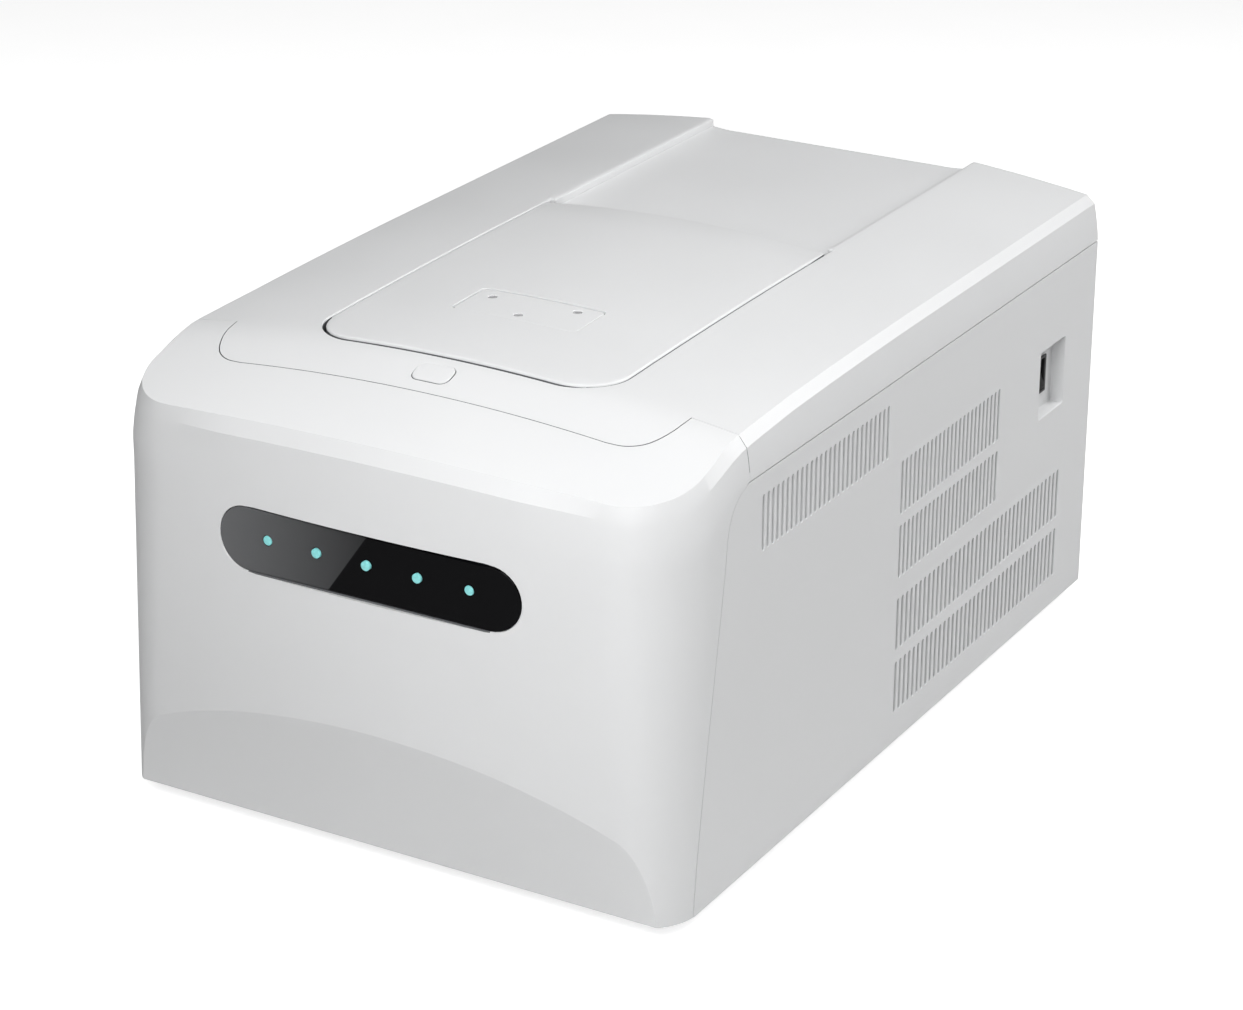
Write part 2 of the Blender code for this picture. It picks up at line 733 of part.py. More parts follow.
# ================================================================ lid release
def release_button(mat):
    body = within(button_outline(0.0, 0.15, HIGH), crown_block(0.0002))
    minus(body, crown_block(0.0035))
    under = top_height(0.0, BUTTON_Y) - 0.0025
    plus(body, cylinder((0.0, BUTTON_Y), "Z", 0.0025, LATCH_Z + 0.0045, under, 16))
    return finish(body, "release_button", mat, (0.0, BUTTON_Y, under))


GUIDE_Z = (0.2240, 0.2260)


def button_guide(mat):
    """Small fixed plate that the button's stem slides through and its spring sits on."""
    body = box((-0.010, -0.1930, GUIDE_Z[0]), (0.010, OPEN_FRONT - COLLAR - 0.0004, GUIDE_Z[1]))
    minus(body, cylinder((0.0, BUTTON_Y), "Z", 0.0029, 0.2, 0.3, 16))
    return finish(body, "button_guide", mat)


def latch_arm(mat):
    """Bell crank: the stem pushes its front arm down and its upright swings away from the strike plate."""
    profile = [
        (-0.1900, 0.1985), (LATCH_Y, 0.1955), (-0.1565, 0.1960), (-0.1565, 0.2020), (-0.1584, 0.2060),
        (-0.1584, 0.2285), (-0.1615, 0.2285), (-0.1625, 0.2060), (-0.1650, 0.2030), (-0.1900, 0.2030),
    ]
    body = prism(profile, "X", -0.006, 0.006)
    bore = 0.0021 / math.cos(math.pi / 16)
    minus(body, cylinder((LATCH_Y, LATCH_Z), "X", bore, -0.02, 0.02, 16))
    return finish(body, "latch_arm", mat, (0.0, LATCH_Y, LATCH_Z))


def latch_pin(mat):
    return finish(cylinder((LATCH_Y, LATCH_Z), "X", 0.0020, -0.0125, 0.0125, 16), "latch_pin", mat)


def latch_bracket(mat):
    """Two ears under the bay floor that hold the latch pin."""
    profile = [(-0.1660, BAY_BASE - 0.0003), (-0.1640, 0.1960), (-0.1600, 0.1945), (-0.1560, 0.1960),
               (-0.1440, BAY_BASE - 0.0003)]
    body = prism(profile, "X", -0.0115, 0.0115)
    minus(body, box((-0.0068, -0.19, 0.15), (0.0068, -0.1500, 0.25)))
    tight = 0.00203 / math.cos(math.pi / 16)
    minus(body, cylinder((LATCH_Y, LATCH_Z), "X", tight, -0.02, 0.02, 16))
    return finish(body, "latch_bracket", mat)


# ================================================================ bay, block and cooling
def bay_floor(mat):
    """Floor of the sample bay, with a rear wall, a hole for the block and a slot for the latch."""
    body = prism(opening(-0.0004, 0.0330), "Z", BAY_BASE, BAY_TOP)
    plus(body, box((-OPEN_HALF + 0.0004, 0.0305, BAY_BASE + 0.001), (OPEN_HALF - 0.0004, 0.0330, 0.2280)))
    dx = BLOCK_SIZE[0] / 2 + 0.0008
    dy = BLOCK_SIZE[1] / 2 + 0.0008
    minus(body, box((-dx, BLOCK_Y - dy, 0.1), (dx, BLOCK_Y + dy, 0.3)))
    minus(body, box((-0.0085, -0.1655, 0.1), (0.0085, -0.1540, 0.3)))
    return finish(body, "bay_floor", mat)


def sample_block(mat):
    """Aluminium block with 96 tapered wells, laid out cell by cell."""
    columns, rows, sides = 12, 8, 6
    verts = []
    faces = []

    def add(points):
        start = len(verts)
        verts.extend(points)
        return list(range(start, start + len(points)))

    def corner(i, j):
        return ((i - columns / 2) * WELL_PITCH, BLOCK_Y + (j - rows / 2) * WELL_PITCH)

    grid = [add([(*corner(i, j), BLOCK_TOP) for j in range(rows + 1)]) for i in range(columns + 1)]
    for i in range(columns):
        for j in range(rows):
            x, y = corner(i + 0.5, j + 0.5)
            start = math.radians(30)
            mouth = add([(px, py, BLOCK_TOP) for px, py in circle((x, y), 0.0031, sides, start)])
            tip = add([(px, py, BLOCK_TOP - 0.015) for px, py in circle((x, y), 0.0014, sides, start)])
            for k in range(sides):
                n = (k + 1) % sides
                faces.append((mouth[k], mouth[n], tip[n], tip[k]))
            faces.append(tip)
            sw, se, ne, nw = grid[i][j], grid[i + 1][j], grid[i + 1][j + 1], grid[i][j + 1]
            faces += [(mouth[0], mouth[1], ne), (mouth[1], nw, ne), (mouth[1], mouth[2], nw),
                      (mouth[2], mouth[3], sw, nw), (mouth[3], mouth[4], sw), (mouth[4], se, sw),
                      (mouth[4], mouth[5], se), (mouth[5], mouth[0], ne, se)]
    rim = [grid[i][0] for i in range(columns)] + [grid[columns][j] for j in range(rows)]
    rim += [grid[i][rows] for i in range(columns, 0, -1)] + [grid[0][j] for j in range(rows, 0, -1)]
    dx = BLOCK_SIZE[0] / columns / WELL_PITCH
    dy = BLOCK_SIZE[1] / rows / WELL_PITCH
    edge = [(verts[k][0] * dx, BLOCK_Y + (verts[k][1] - BLOCK_Y) * dy) for k in rim]
    top = add([(x, y, BLOCK_TOP) for x, y in edge])
    base = add([(x, y, BLOCK_BASE) for x, y in edge])
    for k in range(len(rim)):
        n = (k + 1) % len(rim)
        faces.append((rim[k], rim[n], top[n], top[k]))
        faces.append((top[k], top[n], base[n], base[k]))
    faces.append(base)
    return finish(solid(verts, faces), "sample_block", mat)


def block_gasket(mat):
    dx = BLOCK_SIZE[0] / 2
    dy = BLOCK_SIZE[1] / 2
    outer = rounded(-dx - 0.006, BLOCK_Y - dy - 0.006, dx + 0.006, BLOCK_Y + dy + 0.006, 0.006, 3)
    hole = box((-dx - 0.0003, BLOCK_Y - dy - 0.0003, 0.1), (dx + 0.0003, BLOCK_Y + dy + 0.0003, 0.3))
    body = minus(prism(outer, "Z", 0.2050, BAY_BASE - 0.0003), hole)
    return finish(body, "block_gasket", mat)


def thermal_module(mat):
    return finish(box((-0.060, BLOCK_Y - 0.040, 0.1848), (0.060, BLOCK_Y + 0.040, 0.1888)), "thermal_module", mat)


def heat_sink(mat):
    """Base plate with fins that point down."""
    count = 16
    pitch = 0.008
    half = (count - 1) * pitch / 2 + 0.001
    profile = [(half, 0.1845), (-half, 0.1845)]
    for i in range(count):
        x = (i - (count - 1) / 2) * pitch
        if i:
            profile.append((x - 0.001, 0.1750))
        profile.append((x - 0.001, 0.1182))
        profile.append((x + 0.001, 0.1182))
        if i < count - 1:
            profile.append((x + 0.001, 0.1750))
    return finish(prism(profile, "Y", BLOCK_Y - 0.050, BLOCK_Y + 0.050), "heat_sink", mat)


def fan(centre, axis, size, depth, name, mat_frame, mat_rotor):
    """A square axial fan: frame with hub seat and three struts, and a bladed rotor."""
    half = size / 2
    low = -depth / 2
    hub = size * 0.20
    frame = prism(rounded(-half, -half, half, half, size * 0.06, 3), "Z", low, -low)
    minus(frame, cylinder((0.0, 0.0), "Z", half * 0.95, -0.1, 0.1, 32))
    seat = cylinder((0.0, 0.0), "Z", hub, low, low + 0.003, 20)
    for k in range(3):
        strut = box((0.0, -0.0015, low), (half * 0.98, 0.0015, low + 0.003))
        strut.data.transform(Matrix.Rotation(math.radians(90 + 120 * k), 4, "Z"))
        plus(seat, strut)
    plus(frame, seat)
    rotor = cylinder((0.0, 0.0), "Z", hub, low + 0.0035, -low - 0.001, 24)
    for k in range(7):
        inner = hub * 0.9
        outer = half * 0.90
        top = -low - 0.003
        base = low + 0.006
        lead = 0.35
        verts = []
        for r in (inner, outer):
            for a, z in ((0.0, base), (0.05, base), (lead + 0.05, top), (lead, top)):
                verts.append((r * math.cos(a), r * math.sin(a), z))
        faces = [(0, 1, 2, 3), (7, 6, 5, 4), (0, 4, 5, 1), (1, 5, 6, 2), (2, 6, 7, 3), (3, 7, 4, 0)]
        blade = solid(verts, faces)
        blade.data.transform(Matrix.Rotation(2 * math.pi * k / 7, 4, "Z"))
        plus(rotor, blade)
    for body in (frame, rotor):
        if axis == "Y":
            body.data.transform(Matrix.Rotation(math.radians(-90), 4, "X"))
        body.data.transform(Matrix.Translation(centre))
    return [finish(frame, name + "_frame", mat_frame), finish(rotor, name + "_rotor", mat_rotor, centre)]


def chassis_stand(mat):
    """Four legs and a ring that carry the fan, heat sink and block."""
    body = box((-0.052, BLOCK_Y - 0.052, 0.0895), (0.052, BLOCK_Y + 0.052, 0.0922))
    minus(body, cylinder((0.0, BLOCK_Y), "Z", 0.042, 0.0, 0.2, 32))
    for sx in (-1, 1):
        for sy in (-1, 1):
            x = sx * 0.048
            y = BLOCK_Y + sy * 0.048
            plus(body, box((x - 0.004, y - 0.004, BODY_BASE + 0.0031), (x + 0.004, y + 0.004, 0.0900)))
    return finish(body, "chassis_stand", mat)


# ================================================================ electrical
def switch_frame(mat):
    """Body and bezel of the power switch, set in the floor of the recess."""
    floor_x = HALF - POCKET_DEPTH
    body = box((0.1380, SWITCH_Y - 0.0066, SWITCH_Z - 0.0100), (floor_x + 0.0010, SWITCH_Y + 0.0066, SWITCH_Z + 0.0100))
    plus(body, box((floor_x + 0.0003, SWITCH_Y - 0.0080, SWITCH_Z - 0.0109),
                   (floor_x + 0.0016, SWITCH_Y + 0.0080, SWITCH_Z + 0.0109)))
    minus(body, box((0.1395, SWITCH_Y - 0.0056, SWITCH_Z - 0.0093), (0.2, SWITCH_Y + 0.0056, SWITCH_Z + 0.0093)))
    return finish(body, "switch_frame", mat)


def switch_rocker(mat):
    """Rocker, tilted to its rest side."""
    tilt = math.radians(-8)
    face = [(0.0050, -0.0083), (0.0034, 0.0), (0.0050, 0.0083), (-0.0040, 0.0078), (-0.0070, 0.0), (-0.0040, -0.0078)]
    points = []
    for u, v in face:
        x = SWITCH_PIVOT_X + u * math.cos(tilt) + v * math.sin(tilt)
        z = SWITCH_Z - u * math.sin(tilt) + v * math.cos(tilt)
        points.append((x, z))
    body = prism(points, "Y", SWITCH_Y - 0.0052, SWITCH_Y + 0.0052)
    return finish(body, "switch_rocker", mat, (SWITCH_PIVOT_X, SWITCH_Y, SWITCH_Z))


def mains_inlet(mat):
    x, z = INLET
    body = box((x - 0.0135, 0.2200, z - 0.0100), (x + 0.0135, REAR_FACE + 0.001, z + 0.0100))
    flange = box((x - 0.0155, REAR_FACE + 0.0002, z - 0.0120), (x + 0.0155, REAR_FACE + 0.0022, z + 0.0120))
    plus(body, flange)
    minus(body, box((x - 0.0120, 0.2302, z - 0.0082), (x + 0.0120, 0.3, z + 0.0082)))
    for px, pz in ((-0.007, 0.0008), (0.0, -0.0042), (0.007, 0.0008)):
        plus(body, box((x + px - 0.001, 0.2290, z + pz - 0.0020), (x + px + 0.001, 0.2405, z + pz + 0.0020)))
    return finish(body, "mains_inlet", mat)


def fuse_drawer(mat):
    x, z = INLET
    body = box((x - 0.0135, 0.2250, z + 0.0160), (x + 0.0135, REAR_FACE + 0.0014, z + 0.0260))
    minus(body, box((x - 0.0040, REAR_FACE + 0.0004, z + 0.0185), (x + 0.0040, 0.3, z + 0.0205)))
    return finish(body, "fuse_drawer", mat)


def data_port(mat):
    x, z = PORT
    body = box((x - 0.0060, 0.2250, z - 0.0055), (x + 0.0060, REAR_FACE + 0.0012, z + 0.0055))
    minus(body, box((x - 0.0045, 0.2340, z - 0.0040), (x + 0.0045, 0.3, z + 0.0040)))
    plus(body, box((x - 0.0028, 0.2330, z - 0.0010), (x + 0.0028, 0.2425, z + 0.0020)))
    return finish(body, "data_port", mat)


def power_supply(mat):
    body = box((-0.148, 0.030, BODY_BASE + 0.0031), (-0.040, 0.200, 0.0600))
    grooves = [box((-0.140, 0.045 + i * 0.020, 0.0590), (-0.048, 0.053 + i * 0.020, 0.07)) for i in range(8)]
    return finish(minus(body, several(grooves)), "power_supply", mat)


def main_board(mat):
    """Circuit board on four posts with its tallest parts."""
    body = box((0.015, 0.040, 0.0300), (0.145, 0.210, 0.0316))
    for x in (0.022, 0.138):
        for y in (0.047, 0.203):
            plus(body, box((x - 0.003, y - 0.003, BODY_BASE + 0.0031), (x + 0.003, y + 0.003, 0.0305)))
    for x, y, dx, dy, top in ((0.080, 0.120, 0.017, 0.017, 0.0365), (0.045, 0.085, 0.012, 0.009, 0.0400),
                              (0.120, 0.170, 0.010, 0.020, 0.0480), (0.050, 0.180, 0.014, 0.010, 0.0440)):
        plus(body, box((x - dx, y - dy, 0.0310), (x + dx, y + dy, top)))
    return finish(body, "main_board", mat)


# ================================================================ build
def build():
    reset()

    def white(name):
        return material(name, (0.86, 0.86, 0.85), 0.35)

    def dark(name):
        return material(name, (0.02, 0.02, 0.022), 0.4)

    def steel(name):
        return material(name, (0.62, 0.62, 0.63), 0.35, 1.0)

    def aluminium(name):
        return material(name, (0.75, 0.76, 0.77), 0.4, 1.0)

    def galvanised(name):
        return material(name, (0.55, 0.56, 0.57), 0.5, 1.0)

    front_fascia(white("front_fascia"))
    top_cover(white("top_cover"))
    rear_deck(white("rear_deck"))
    side_panel(white("left_side_panel"), -1)
    side_panel(white("right_side_panel"), 1)
    rear_panel(white("rear_panel"))
    rear_screws(steel("rear_screw"))
    base_plate(galvanised("base_plate"))
    feet(material("foot", (0.03, 0.03, 0.03), 0.85))

    indicator_window(material("indicator_window", (0.01, 0.01, 0.012), 0.08))
    indicator_lights(material("indicator_light", (0.25, 0.75, 0.75), 0.3))
    indicator_board(material("indicator_board", (0.02, 0.12, 0.05), 0.5))

    lid_panel(white("lid_panel"))
    lid_access_plate(white("lid_access_plate"))
    lid_screws(material("lid_screw", (0.80, 0.80, 0.80), 0.4))
    lid_inner_frame(material("lid_inner_frame", (0.30, 0.31, 0.32), 0.6))
    strike_plate(steel("strike_plate"))
    heated_plate(aluminium("heated_plate"))
    lid_springs(steel("lid_spring"))
    hinge_parts(steel("hinge_bracket"), steel("hinge_pin"))

    release_button(white("release_button"))
    button_guide(galvanised("button_guide"))
    under = top_height(0.0, BUTTON_Y) - 0.0044
    coil((0.0, BUTTON_Y), GUIDE_Z[1] + 0.0003, under, 0.0038, 0.0004, 4.5, "button_spring", steel("button_spring"))
    latch_arm(dark("latch_arm"))
    latch_pin(steel("latch_pin"))
    latch_bracket(galvanised("latch_bracket"))

    bay_floor(material("bay_floor", (0.25, 0.26, 0.27), 0.6))
    sample_block(aluminium("sample_block"))
    block_gasket(material("block_gasket", (0.05, 0.05, 0.05), 0.8))
    thermal_module(material("thermal_module", (0.85, 0.84, 0.80), 0.6))
    heat_sink(aluminium("heat_sink"))
    fan((0.0, BLOCK_Y, 0.1050), "Z", 0.092, 0.025, "sink_fan", dark("sink_fan_frame"), dark("sink_fan_rotor"))
    fan((REAR_FAN[0], 0.2300, REAR_FAN[1]), "Y", 0.080, 0.020, "rear_fan", dark("rear_fan_frame"),
        dark("rear_fan_rotor"))
    chassis_stand(galvanised("chassis_stand"))

    switch_frame(dark("switch_frame"))
    switch_rocker(dark("switch_rocker"))
    mains_inlet(dark("mains_inlet"))
    fuse_drawer(dark("fuse_drawer"))
    data_port(galvanised("data_port"))
    power_supply(galvanised("power_supply"))
    main_board(material("main_board", (0.02, 0.16, 0.07), 0.5))


build()
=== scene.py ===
"""Looks of the thermal cycler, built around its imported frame. Metres, +Z up, front at -Y."""

import math

import bmesh
import bpy
from mathutils import Matrix, Vector
from mathutils.bvhtree import BVHTree


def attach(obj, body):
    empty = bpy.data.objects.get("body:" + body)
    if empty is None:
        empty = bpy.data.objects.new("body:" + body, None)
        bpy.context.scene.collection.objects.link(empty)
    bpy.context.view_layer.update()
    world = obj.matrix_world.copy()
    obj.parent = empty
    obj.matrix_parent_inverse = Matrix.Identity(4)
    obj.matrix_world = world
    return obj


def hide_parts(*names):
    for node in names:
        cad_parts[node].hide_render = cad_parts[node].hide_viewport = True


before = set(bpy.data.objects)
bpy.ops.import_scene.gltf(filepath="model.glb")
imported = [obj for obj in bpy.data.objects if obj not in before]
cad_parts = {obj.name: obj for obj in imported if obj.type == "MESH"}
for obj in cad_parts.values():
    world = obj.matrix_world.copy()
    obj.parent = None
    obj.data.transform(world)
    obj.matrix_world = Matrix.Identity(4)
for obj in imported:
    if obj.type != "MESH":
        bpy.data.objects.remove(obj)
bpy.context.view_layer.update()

# ---------------------------------------------------------------- overall housing
HALF = 0.1625
FRONT = -0.246
BACK = 0.246
BODY_BASE = 0.008
WALL = 0.003
SEAM = 0.0004
SEAM_Z = 0.2154

CROWN_Z = 0.2525
CROWN = 0.475
DROOP_START = 0.032
DROOP = 0.088
SLOPE_START = -0.1717
SLOPE = 0.285
SLOPE_SOFT = 0.009

FRONT_BOW = 0.395
CORNER_TOP = 0.043
CORNER_BASE = 0.028
CORNER_TOP_Z = 0.185
CHAMFER_SIDE = (0.0080, 0.0046)
CHAMFER_FRONT = (0.0059, 0.0070)
CHAMFER_BLEND = (-0.118, -0.218)
CHAMFER_PAST = 1.6
LEAN = 0.0032
LEAN_CURVE = 1.4
LEAN_RISE = 0.0212
LEAN_FROM_X = (0.085, 0.125)
KNEE_BLEND = (-0.170, -0.200)
CHIN_TOP = 0.0777
CHIN_RECESS = 0.0136
CHIN_CURVE = 1.6

# edge of the front moulding seen from the side as (y, z), and the right half of the cover's tongue as (x, y)
FASCIA_EDGE = [
    (-0.2165, -0.010), (-0.2117, 0.0371), (-0.2030, 0.0936), (-0.1937, 0.1458), (-0.1880, 0.1790),
    (-0.1858, 0.1950), (-0.1815, 0.2055), (-0.1745, 0.2120), (-0.1668, 0.2154), (-0.1645, 0.2260),
    (-0.1630, 0.3100),
]
TONGUE = [(0.1310, -0.1300), (0.1308, -0.1500), (0.1302, -0.1665), (0.1280, -0.1795), (0.1220, -0.1908),
          (0.1135, -0.1966), (0.1040, -0.1982)]

# ---------------------------------------------------------------- lid, opening and deck
LID_HALF = 0.0854
LID_FRONT = -0.1690
LID_REAR = 0.0625
LID_REAR_BOW = 0.38
LID_REAR_CORNER = 0.0012
LID_CORNER = 0.026
LID_WALL = 0.0025
LID_SKIRT = 0.0080
LID_GAP = 0.0011
LID_EDGE = 0.0015
FRONT_GAP_MORE = 0.0014
OPEN_HALF = LID_HALF + LID_GAP
OPEN_FRONT = LID_FRONT - LID_GAP - FRONT_GAP_MORE
COLLAR = 0.0025
COLLAR_BASE = 0.2060
DECK_TOP = 0.2438
DECK_FRONT = 0.0730
DECK_HALF = 0.0836
DECK_STEP = 0.0665
DECK_SWEEP = 0.014
DECK_RISE = 0.0011
DECK_PANEL = 0.0025
TROUGH_FRONT = 0.0335
TROUGH_Z = 0.2110
# the small plate in the lid as low x, low y, high x and high y
PLATE = (-0.036, -0.1125, 0.036, -0.0812)
PLATE_CORNER = 0.003
PLATE_GAP = 0.0004
PLATE_EDGE = 0.0004
PLATE_SINK = 0.0005
PLATE_BASE = 0.0013
PLATE_RECESS = 0.0014
SCREW_HOLE = 0.0024
SCREW_RADIUS = 0.0019
SCREW_SINK = 0.0007
SCREW_DOME = 0.0003
LID_SCREWS = [(-0.0259, -0.0897), (0.0230, -0.0881), (-0.0007, -0.1059)]

# ---------------------------------------------------------------- block and button
BLOCK_Y = -0.065
BLOCK_SIZE = (0.128, 0.086)
BLOCK_TOP = 0.2125
BLOCK_BASE = 0.1891
BLOCK_EDGE = 0.0006
WELL_PITCH = 0.009
WELL_COLUMNS = 12
WELL_ROWS = 8
# the well's wall as radius and depth, from its broken mouth down
WELL_WALL = [(0.00345, 0.0), (0.0030, 0.0005), (0.0015, 0.0145), (0.0008, 0.0152)]
BUTTON_Y = -0.1841
BUTTON_SIZE = (0.0207, 0.0126)
BUTTON_PROUD = 0.0004
BUTTON_CORNER = 0.0045
BUTTON_GAP = 0.0004
BUTTON_EDGE = 0.0006
BUTTON_DEPTH = 0.0035
STEM_RADIUS = 0.0025
LATCH_Z = 0.1990

# ---------------------------------------------------------------- front indicator
PILL_X = -0.0012
PILL_Z = 0.1650
PILL_HALF = 0.0860
PILL_RADIUS = 0.0166
LIGHT_X = -0.0006
LIGHT_Z = 0.1667
LIGHT_PITCH = 0.0288
LIGHT_RADIUS = 0.0025
LIGHT_GAP = 0.0004
LIGHT_SINK = 0.0006
LIGHT_BASE = FRONT + 0.0098

# ---------------------------------------------------------------- side panels
PANEL = 0.0025
# slot groups as first y, pitch, count, low end and high end
VENTS_RIGHT = [
    (-0.1517, 0.004926, 28, 0.1753, 0.2041),
    (0.0001, 0.004905, 25, 0.1385, 0.1681),
    (0.0001, 0.004905, 25, 0.1029, 0.1322),
    (0.0001, 0.005380, 39, 0.0617, 0.0909),
    (0.0001, 0.005380, 39, 0.0257, 0.0547),
]
VENTS_LEFT = VENTS_RIGHT[4:]
POCKET_Y = (0.1735, 0.2070)
POCKET_Z = (0.1314, 0.1711)
POCKET_DEPTH = 0.0075
POCKET_WALL = 0.002
POCKET_CORNER = 0.0014
POCKET_SOFT = 0.0010
SWITCH_Y = 0.1876
SWITCH_Z = 0.1522
SWITCH_HALF = (0.0069, 0.0103)

# ---------------------------------------------------------------- studio and camera
WORLD_STRENGTH = 0.01
FLOOR_HALF = 6.0
FLOOR_GLOW = 0.75
CENTRE = (0.0, 0.0, 0.15)
# studio lights as name, place, aim, size and power
LIGHTS = [
    ("front", (0.52, -1.22, 0.84), CENTRE, (0.8, 0.8), 8.2),
    ("front_top", (0.25, -0.70, 0.70), (0.05, -0.20, 0.20), (0.4, 0.4), 3.1),
    ("front_high", (0.0, -0.86, 1.38), CENTRE, (0.8, 0.8), 2.6),
    ("over_right", (0.30, 0.10, 0.95), (0.0, 0.10, 0.24), (0.5, 0.5), 2.1),
    ("left", (-1.23, 0.0, 1.18), CENTRE, (0.9, 0.9), 6.6),
    ("rear_right", (0.92, 0.87, 1.02), CENTRE, (0.9, 0.9), 14.0),
]
CAMERA_PLACE = (0.8636, -1.4900, 0.8354)
CAMERA_TURN = (1.1717763, -0.0021805, 0.5275235)
CAMERA_LENS = 100.8
CAMERA_SENSOR = 36.0

# ---------------------------------------------------------------- modelling limits
LOW = -0.30
HIGH = 0.30
CREASE = math.radians(14.0)
SAME_PLACE = 0.000005
TOUCH = 0.00006
# faces deeper than this below the outside get painted shade
SHADE_DEPTH = 0.0011
CURVE_STEPS = 6
ROUND_STEPS = 8
ROUND_END = math.radians(78.0)


# ================================================================ mesh helpers
def solid(verts, faces, name="shape"):
    mesh = bpy.data.meshes.new(name)
    mesh.from_pydata([tuple(v) for v in verts], [], [tuple(f) for f in faces])
    work = bmesh.new()
    work.from_mesh(mesh)
    bmesh.ops.recalc_face_normals(work, faces=work.faces)
    work.to_mesh(mesh)
    work.free()
    made = bpy.data.objects.new(name, mesh)
    bpy.context.scene.collection.objects.link(made)
    return made


def loft(rings):
    """A closed body through rings of equal length, with flat caps."""
    count = len(rings[0])
    verts = [point for ring in rings for point in ring]
    faces = []
    for level in range(len(rings) - 1):
        low = level * count
        for i in range(count):
            j = (i + 1) % count
            faces.append((low + i, low + j, low + count + j, low + count + i))
    faces.append(range(count - 1, -1, -1))
    faces.append(range((len(rings) - 1) * count, len(rings) * count))
    return solid(verts, faces)


def place(point, axis, along):
    """A 2-D point set on the plane across an axis, at the given distance along it."""
    u, v = point
    if axis == "X":
        return (along, u, v)
    if axis == "Y":
        return (u, along, v)
    return (u, v, along)


def prism(points, axis, low, high):
    return loft([[place(p, axis, low) for p in points], [place(p, axis, high) for p in points]])


def box(low, high):
    (x0, y0, z0), (x1, y1, z1) = low, high
    return prism([(x0, y0), (x1, y0), (x1, y1), (x0, y1)], "Z", z0, z1)


def circle(centre, radius, count, start=0.0, sweep=2 * math.pi):
    steps = count if abs(sweep - 2 * math.pi) < 1e-6 else count - 1
    angles = [start + sweep * i / steps for i in range(count)]
    return [(centre[0] + radius * math.cos(a), centre[1] + radius * math.sin(a)) for a in angles]


def cylinder(centre, axis, radius, low, high, count=32):
    return prism(circle(centre, radius, count), axis, low, high)


def rounded(x0, y0, x1, y1, radius, count=8):
    """A rectangle with round corners, anticlockwise."""
    quarter = math.pi / 2
    points = []
    for (cx, cy), start in (
        ((x1 - radius, y0 + radius), -quarter),
        ((x1 - radius, y1 - radius), 0.0),
        ((x0 + radius, y1 - radius), quarter),
        ((x0 + radius, y0 + radius), 2 * quarter),
    ):
        points += circle((cx, cy), radius, count, start, quarter)
    return points


def stadium(half, radius, count=20):
    """A pill outline about the origin, anticlockwise."""
    right = circle((half - radius, 0.0), radius, count, -math.pi / 2, math.pi)
    left = circle((radius - half, 0.0), radius, count, math.pi / 2, math.pi)
    return right + left


def smooth_line(points):
    """A Catmull-Rom curve through the points."""
    padded = [points[0]] + list(points) + [points[-1]]
    line = []
    for before, start, end, after in zip(padded, padded[1:], padded[2:], padded[3:]):
        for i in range(CURVE_STEPS):
            t = i / CURVE_STEPS
            line.append(tuple(
                0.5 * (2 * q + (r - p) * t + (2 * p - 5 * q + 4 * r - s) * t * t
                       + (3 * q - p - 3 * r + s) * t ** 3)
                for p, q, r, s in zip(before, start, end, after)))
    line.append(tuple(points[-1]))
    return line


def subdivide(points, longest):
    """The same closed outline with no side longer than a limit."""
    dense = []
    for start, end in zip(points, points[1:] + points[:1]):
        count = max(1, math.ceil(math.dist(start, end) / longest))
        dense += [(start[0] + (end[0] - start[0]) * i / count, start[1] + (end[1] - start[1]) * i / count)
                  for i in range(count)]
    return dense


def offset(points, amounts):
    """A closed anticlockwise outline moved outward, point by point."""
    moved = []
    for i, (x, y) in enumerate(points):
        before = Vector(points[i - 1])
        here = Vector((x, y))
        after = Vector(points[(i + 1) % len(points)])
        along = (here - before).normalized() + (after - here).normalized()
        along.normalize()
        moved.append((x + along.y * amounts[i], y - along.x * amounts[i]))
    return moved


def rounded_prism(outline, sizes, sign, surface, low, high):
    """An upright prism whose rim is rounded where it meets a surface.

    Each size is how far the rounding reaches sideways and down.
    A cutter flares out (sign 1), a piece closes in (sign -1).
    """
    rings = [[(x, y, low) for x, y in outline]]
    for step in range(ROUND_STEPS + 1):
        angle = ROUND_END * step / ROUND_STEPS
        ring = offset(outline, [sign * reach * (1 - math.cos(angle)) for reach, _ in sizes])
        rings.append([(x, y, surface(x, y) - drop * (1 - math.sin(angle)))
                      for (x, y), (_, drop) in zip(ring, sizes)])
    reach_past = 1 - math.cos(ROUND_END) + 0.5 * math.sin(ROUND_END)
    past = offset(outline, [sign * reach * reach_past for reach, _ in sizes])
    rings.append([(x, y, surface(x, y) + drop * 0.5 * math.cos(ROUND_END))
                  for (x, y), (_, drop) in zip(past, sizes)])
    rings.append([(x, y, high) for x, y in past])
    return loft(rings)


def combine(target, tool, operation):
    """Apply an exact Boolean to the target and drop the tool."""
    step = target.modifiers.new("cut", "BOOLEAN")
    step.operation = operation
    step.solver = "EXACT"
    step.object = tool
    evaluated = target.evaluated_get(bpy.context.evaluated_depsgraph_get())
    mesh = bpy.data.meshes.new_from_object(evaluated)
    target.modifiers.clear()
    target.data = mesh
    bpy.data.objects.remove(tool, do_unlink=True)
    return target


def minus(target, *tools):
    for tool in tools:
        combine(target, tool, "DIFFERENCE")
    return target


def plus(target, *tools):
    for tool in tools:
        combine(target, tool, "UNION")
    return target


def within(target, tool):
    return combine(target, tool, "INTERSECT")


def several(bodies):
    """Many separate closed bodies held in one object, for use as a cutter."""
    verts = []
    faces = []
    for body in bodies:
        start = len(verts)
        verts += [v.co.copy() for v in body.data.vertices]
        faces += [[start + i for i in face.vertices] for face in body.data.polygons]
        bpy.data.objects.remove(body, do_unlink=True)
    return solid(verts, faces)


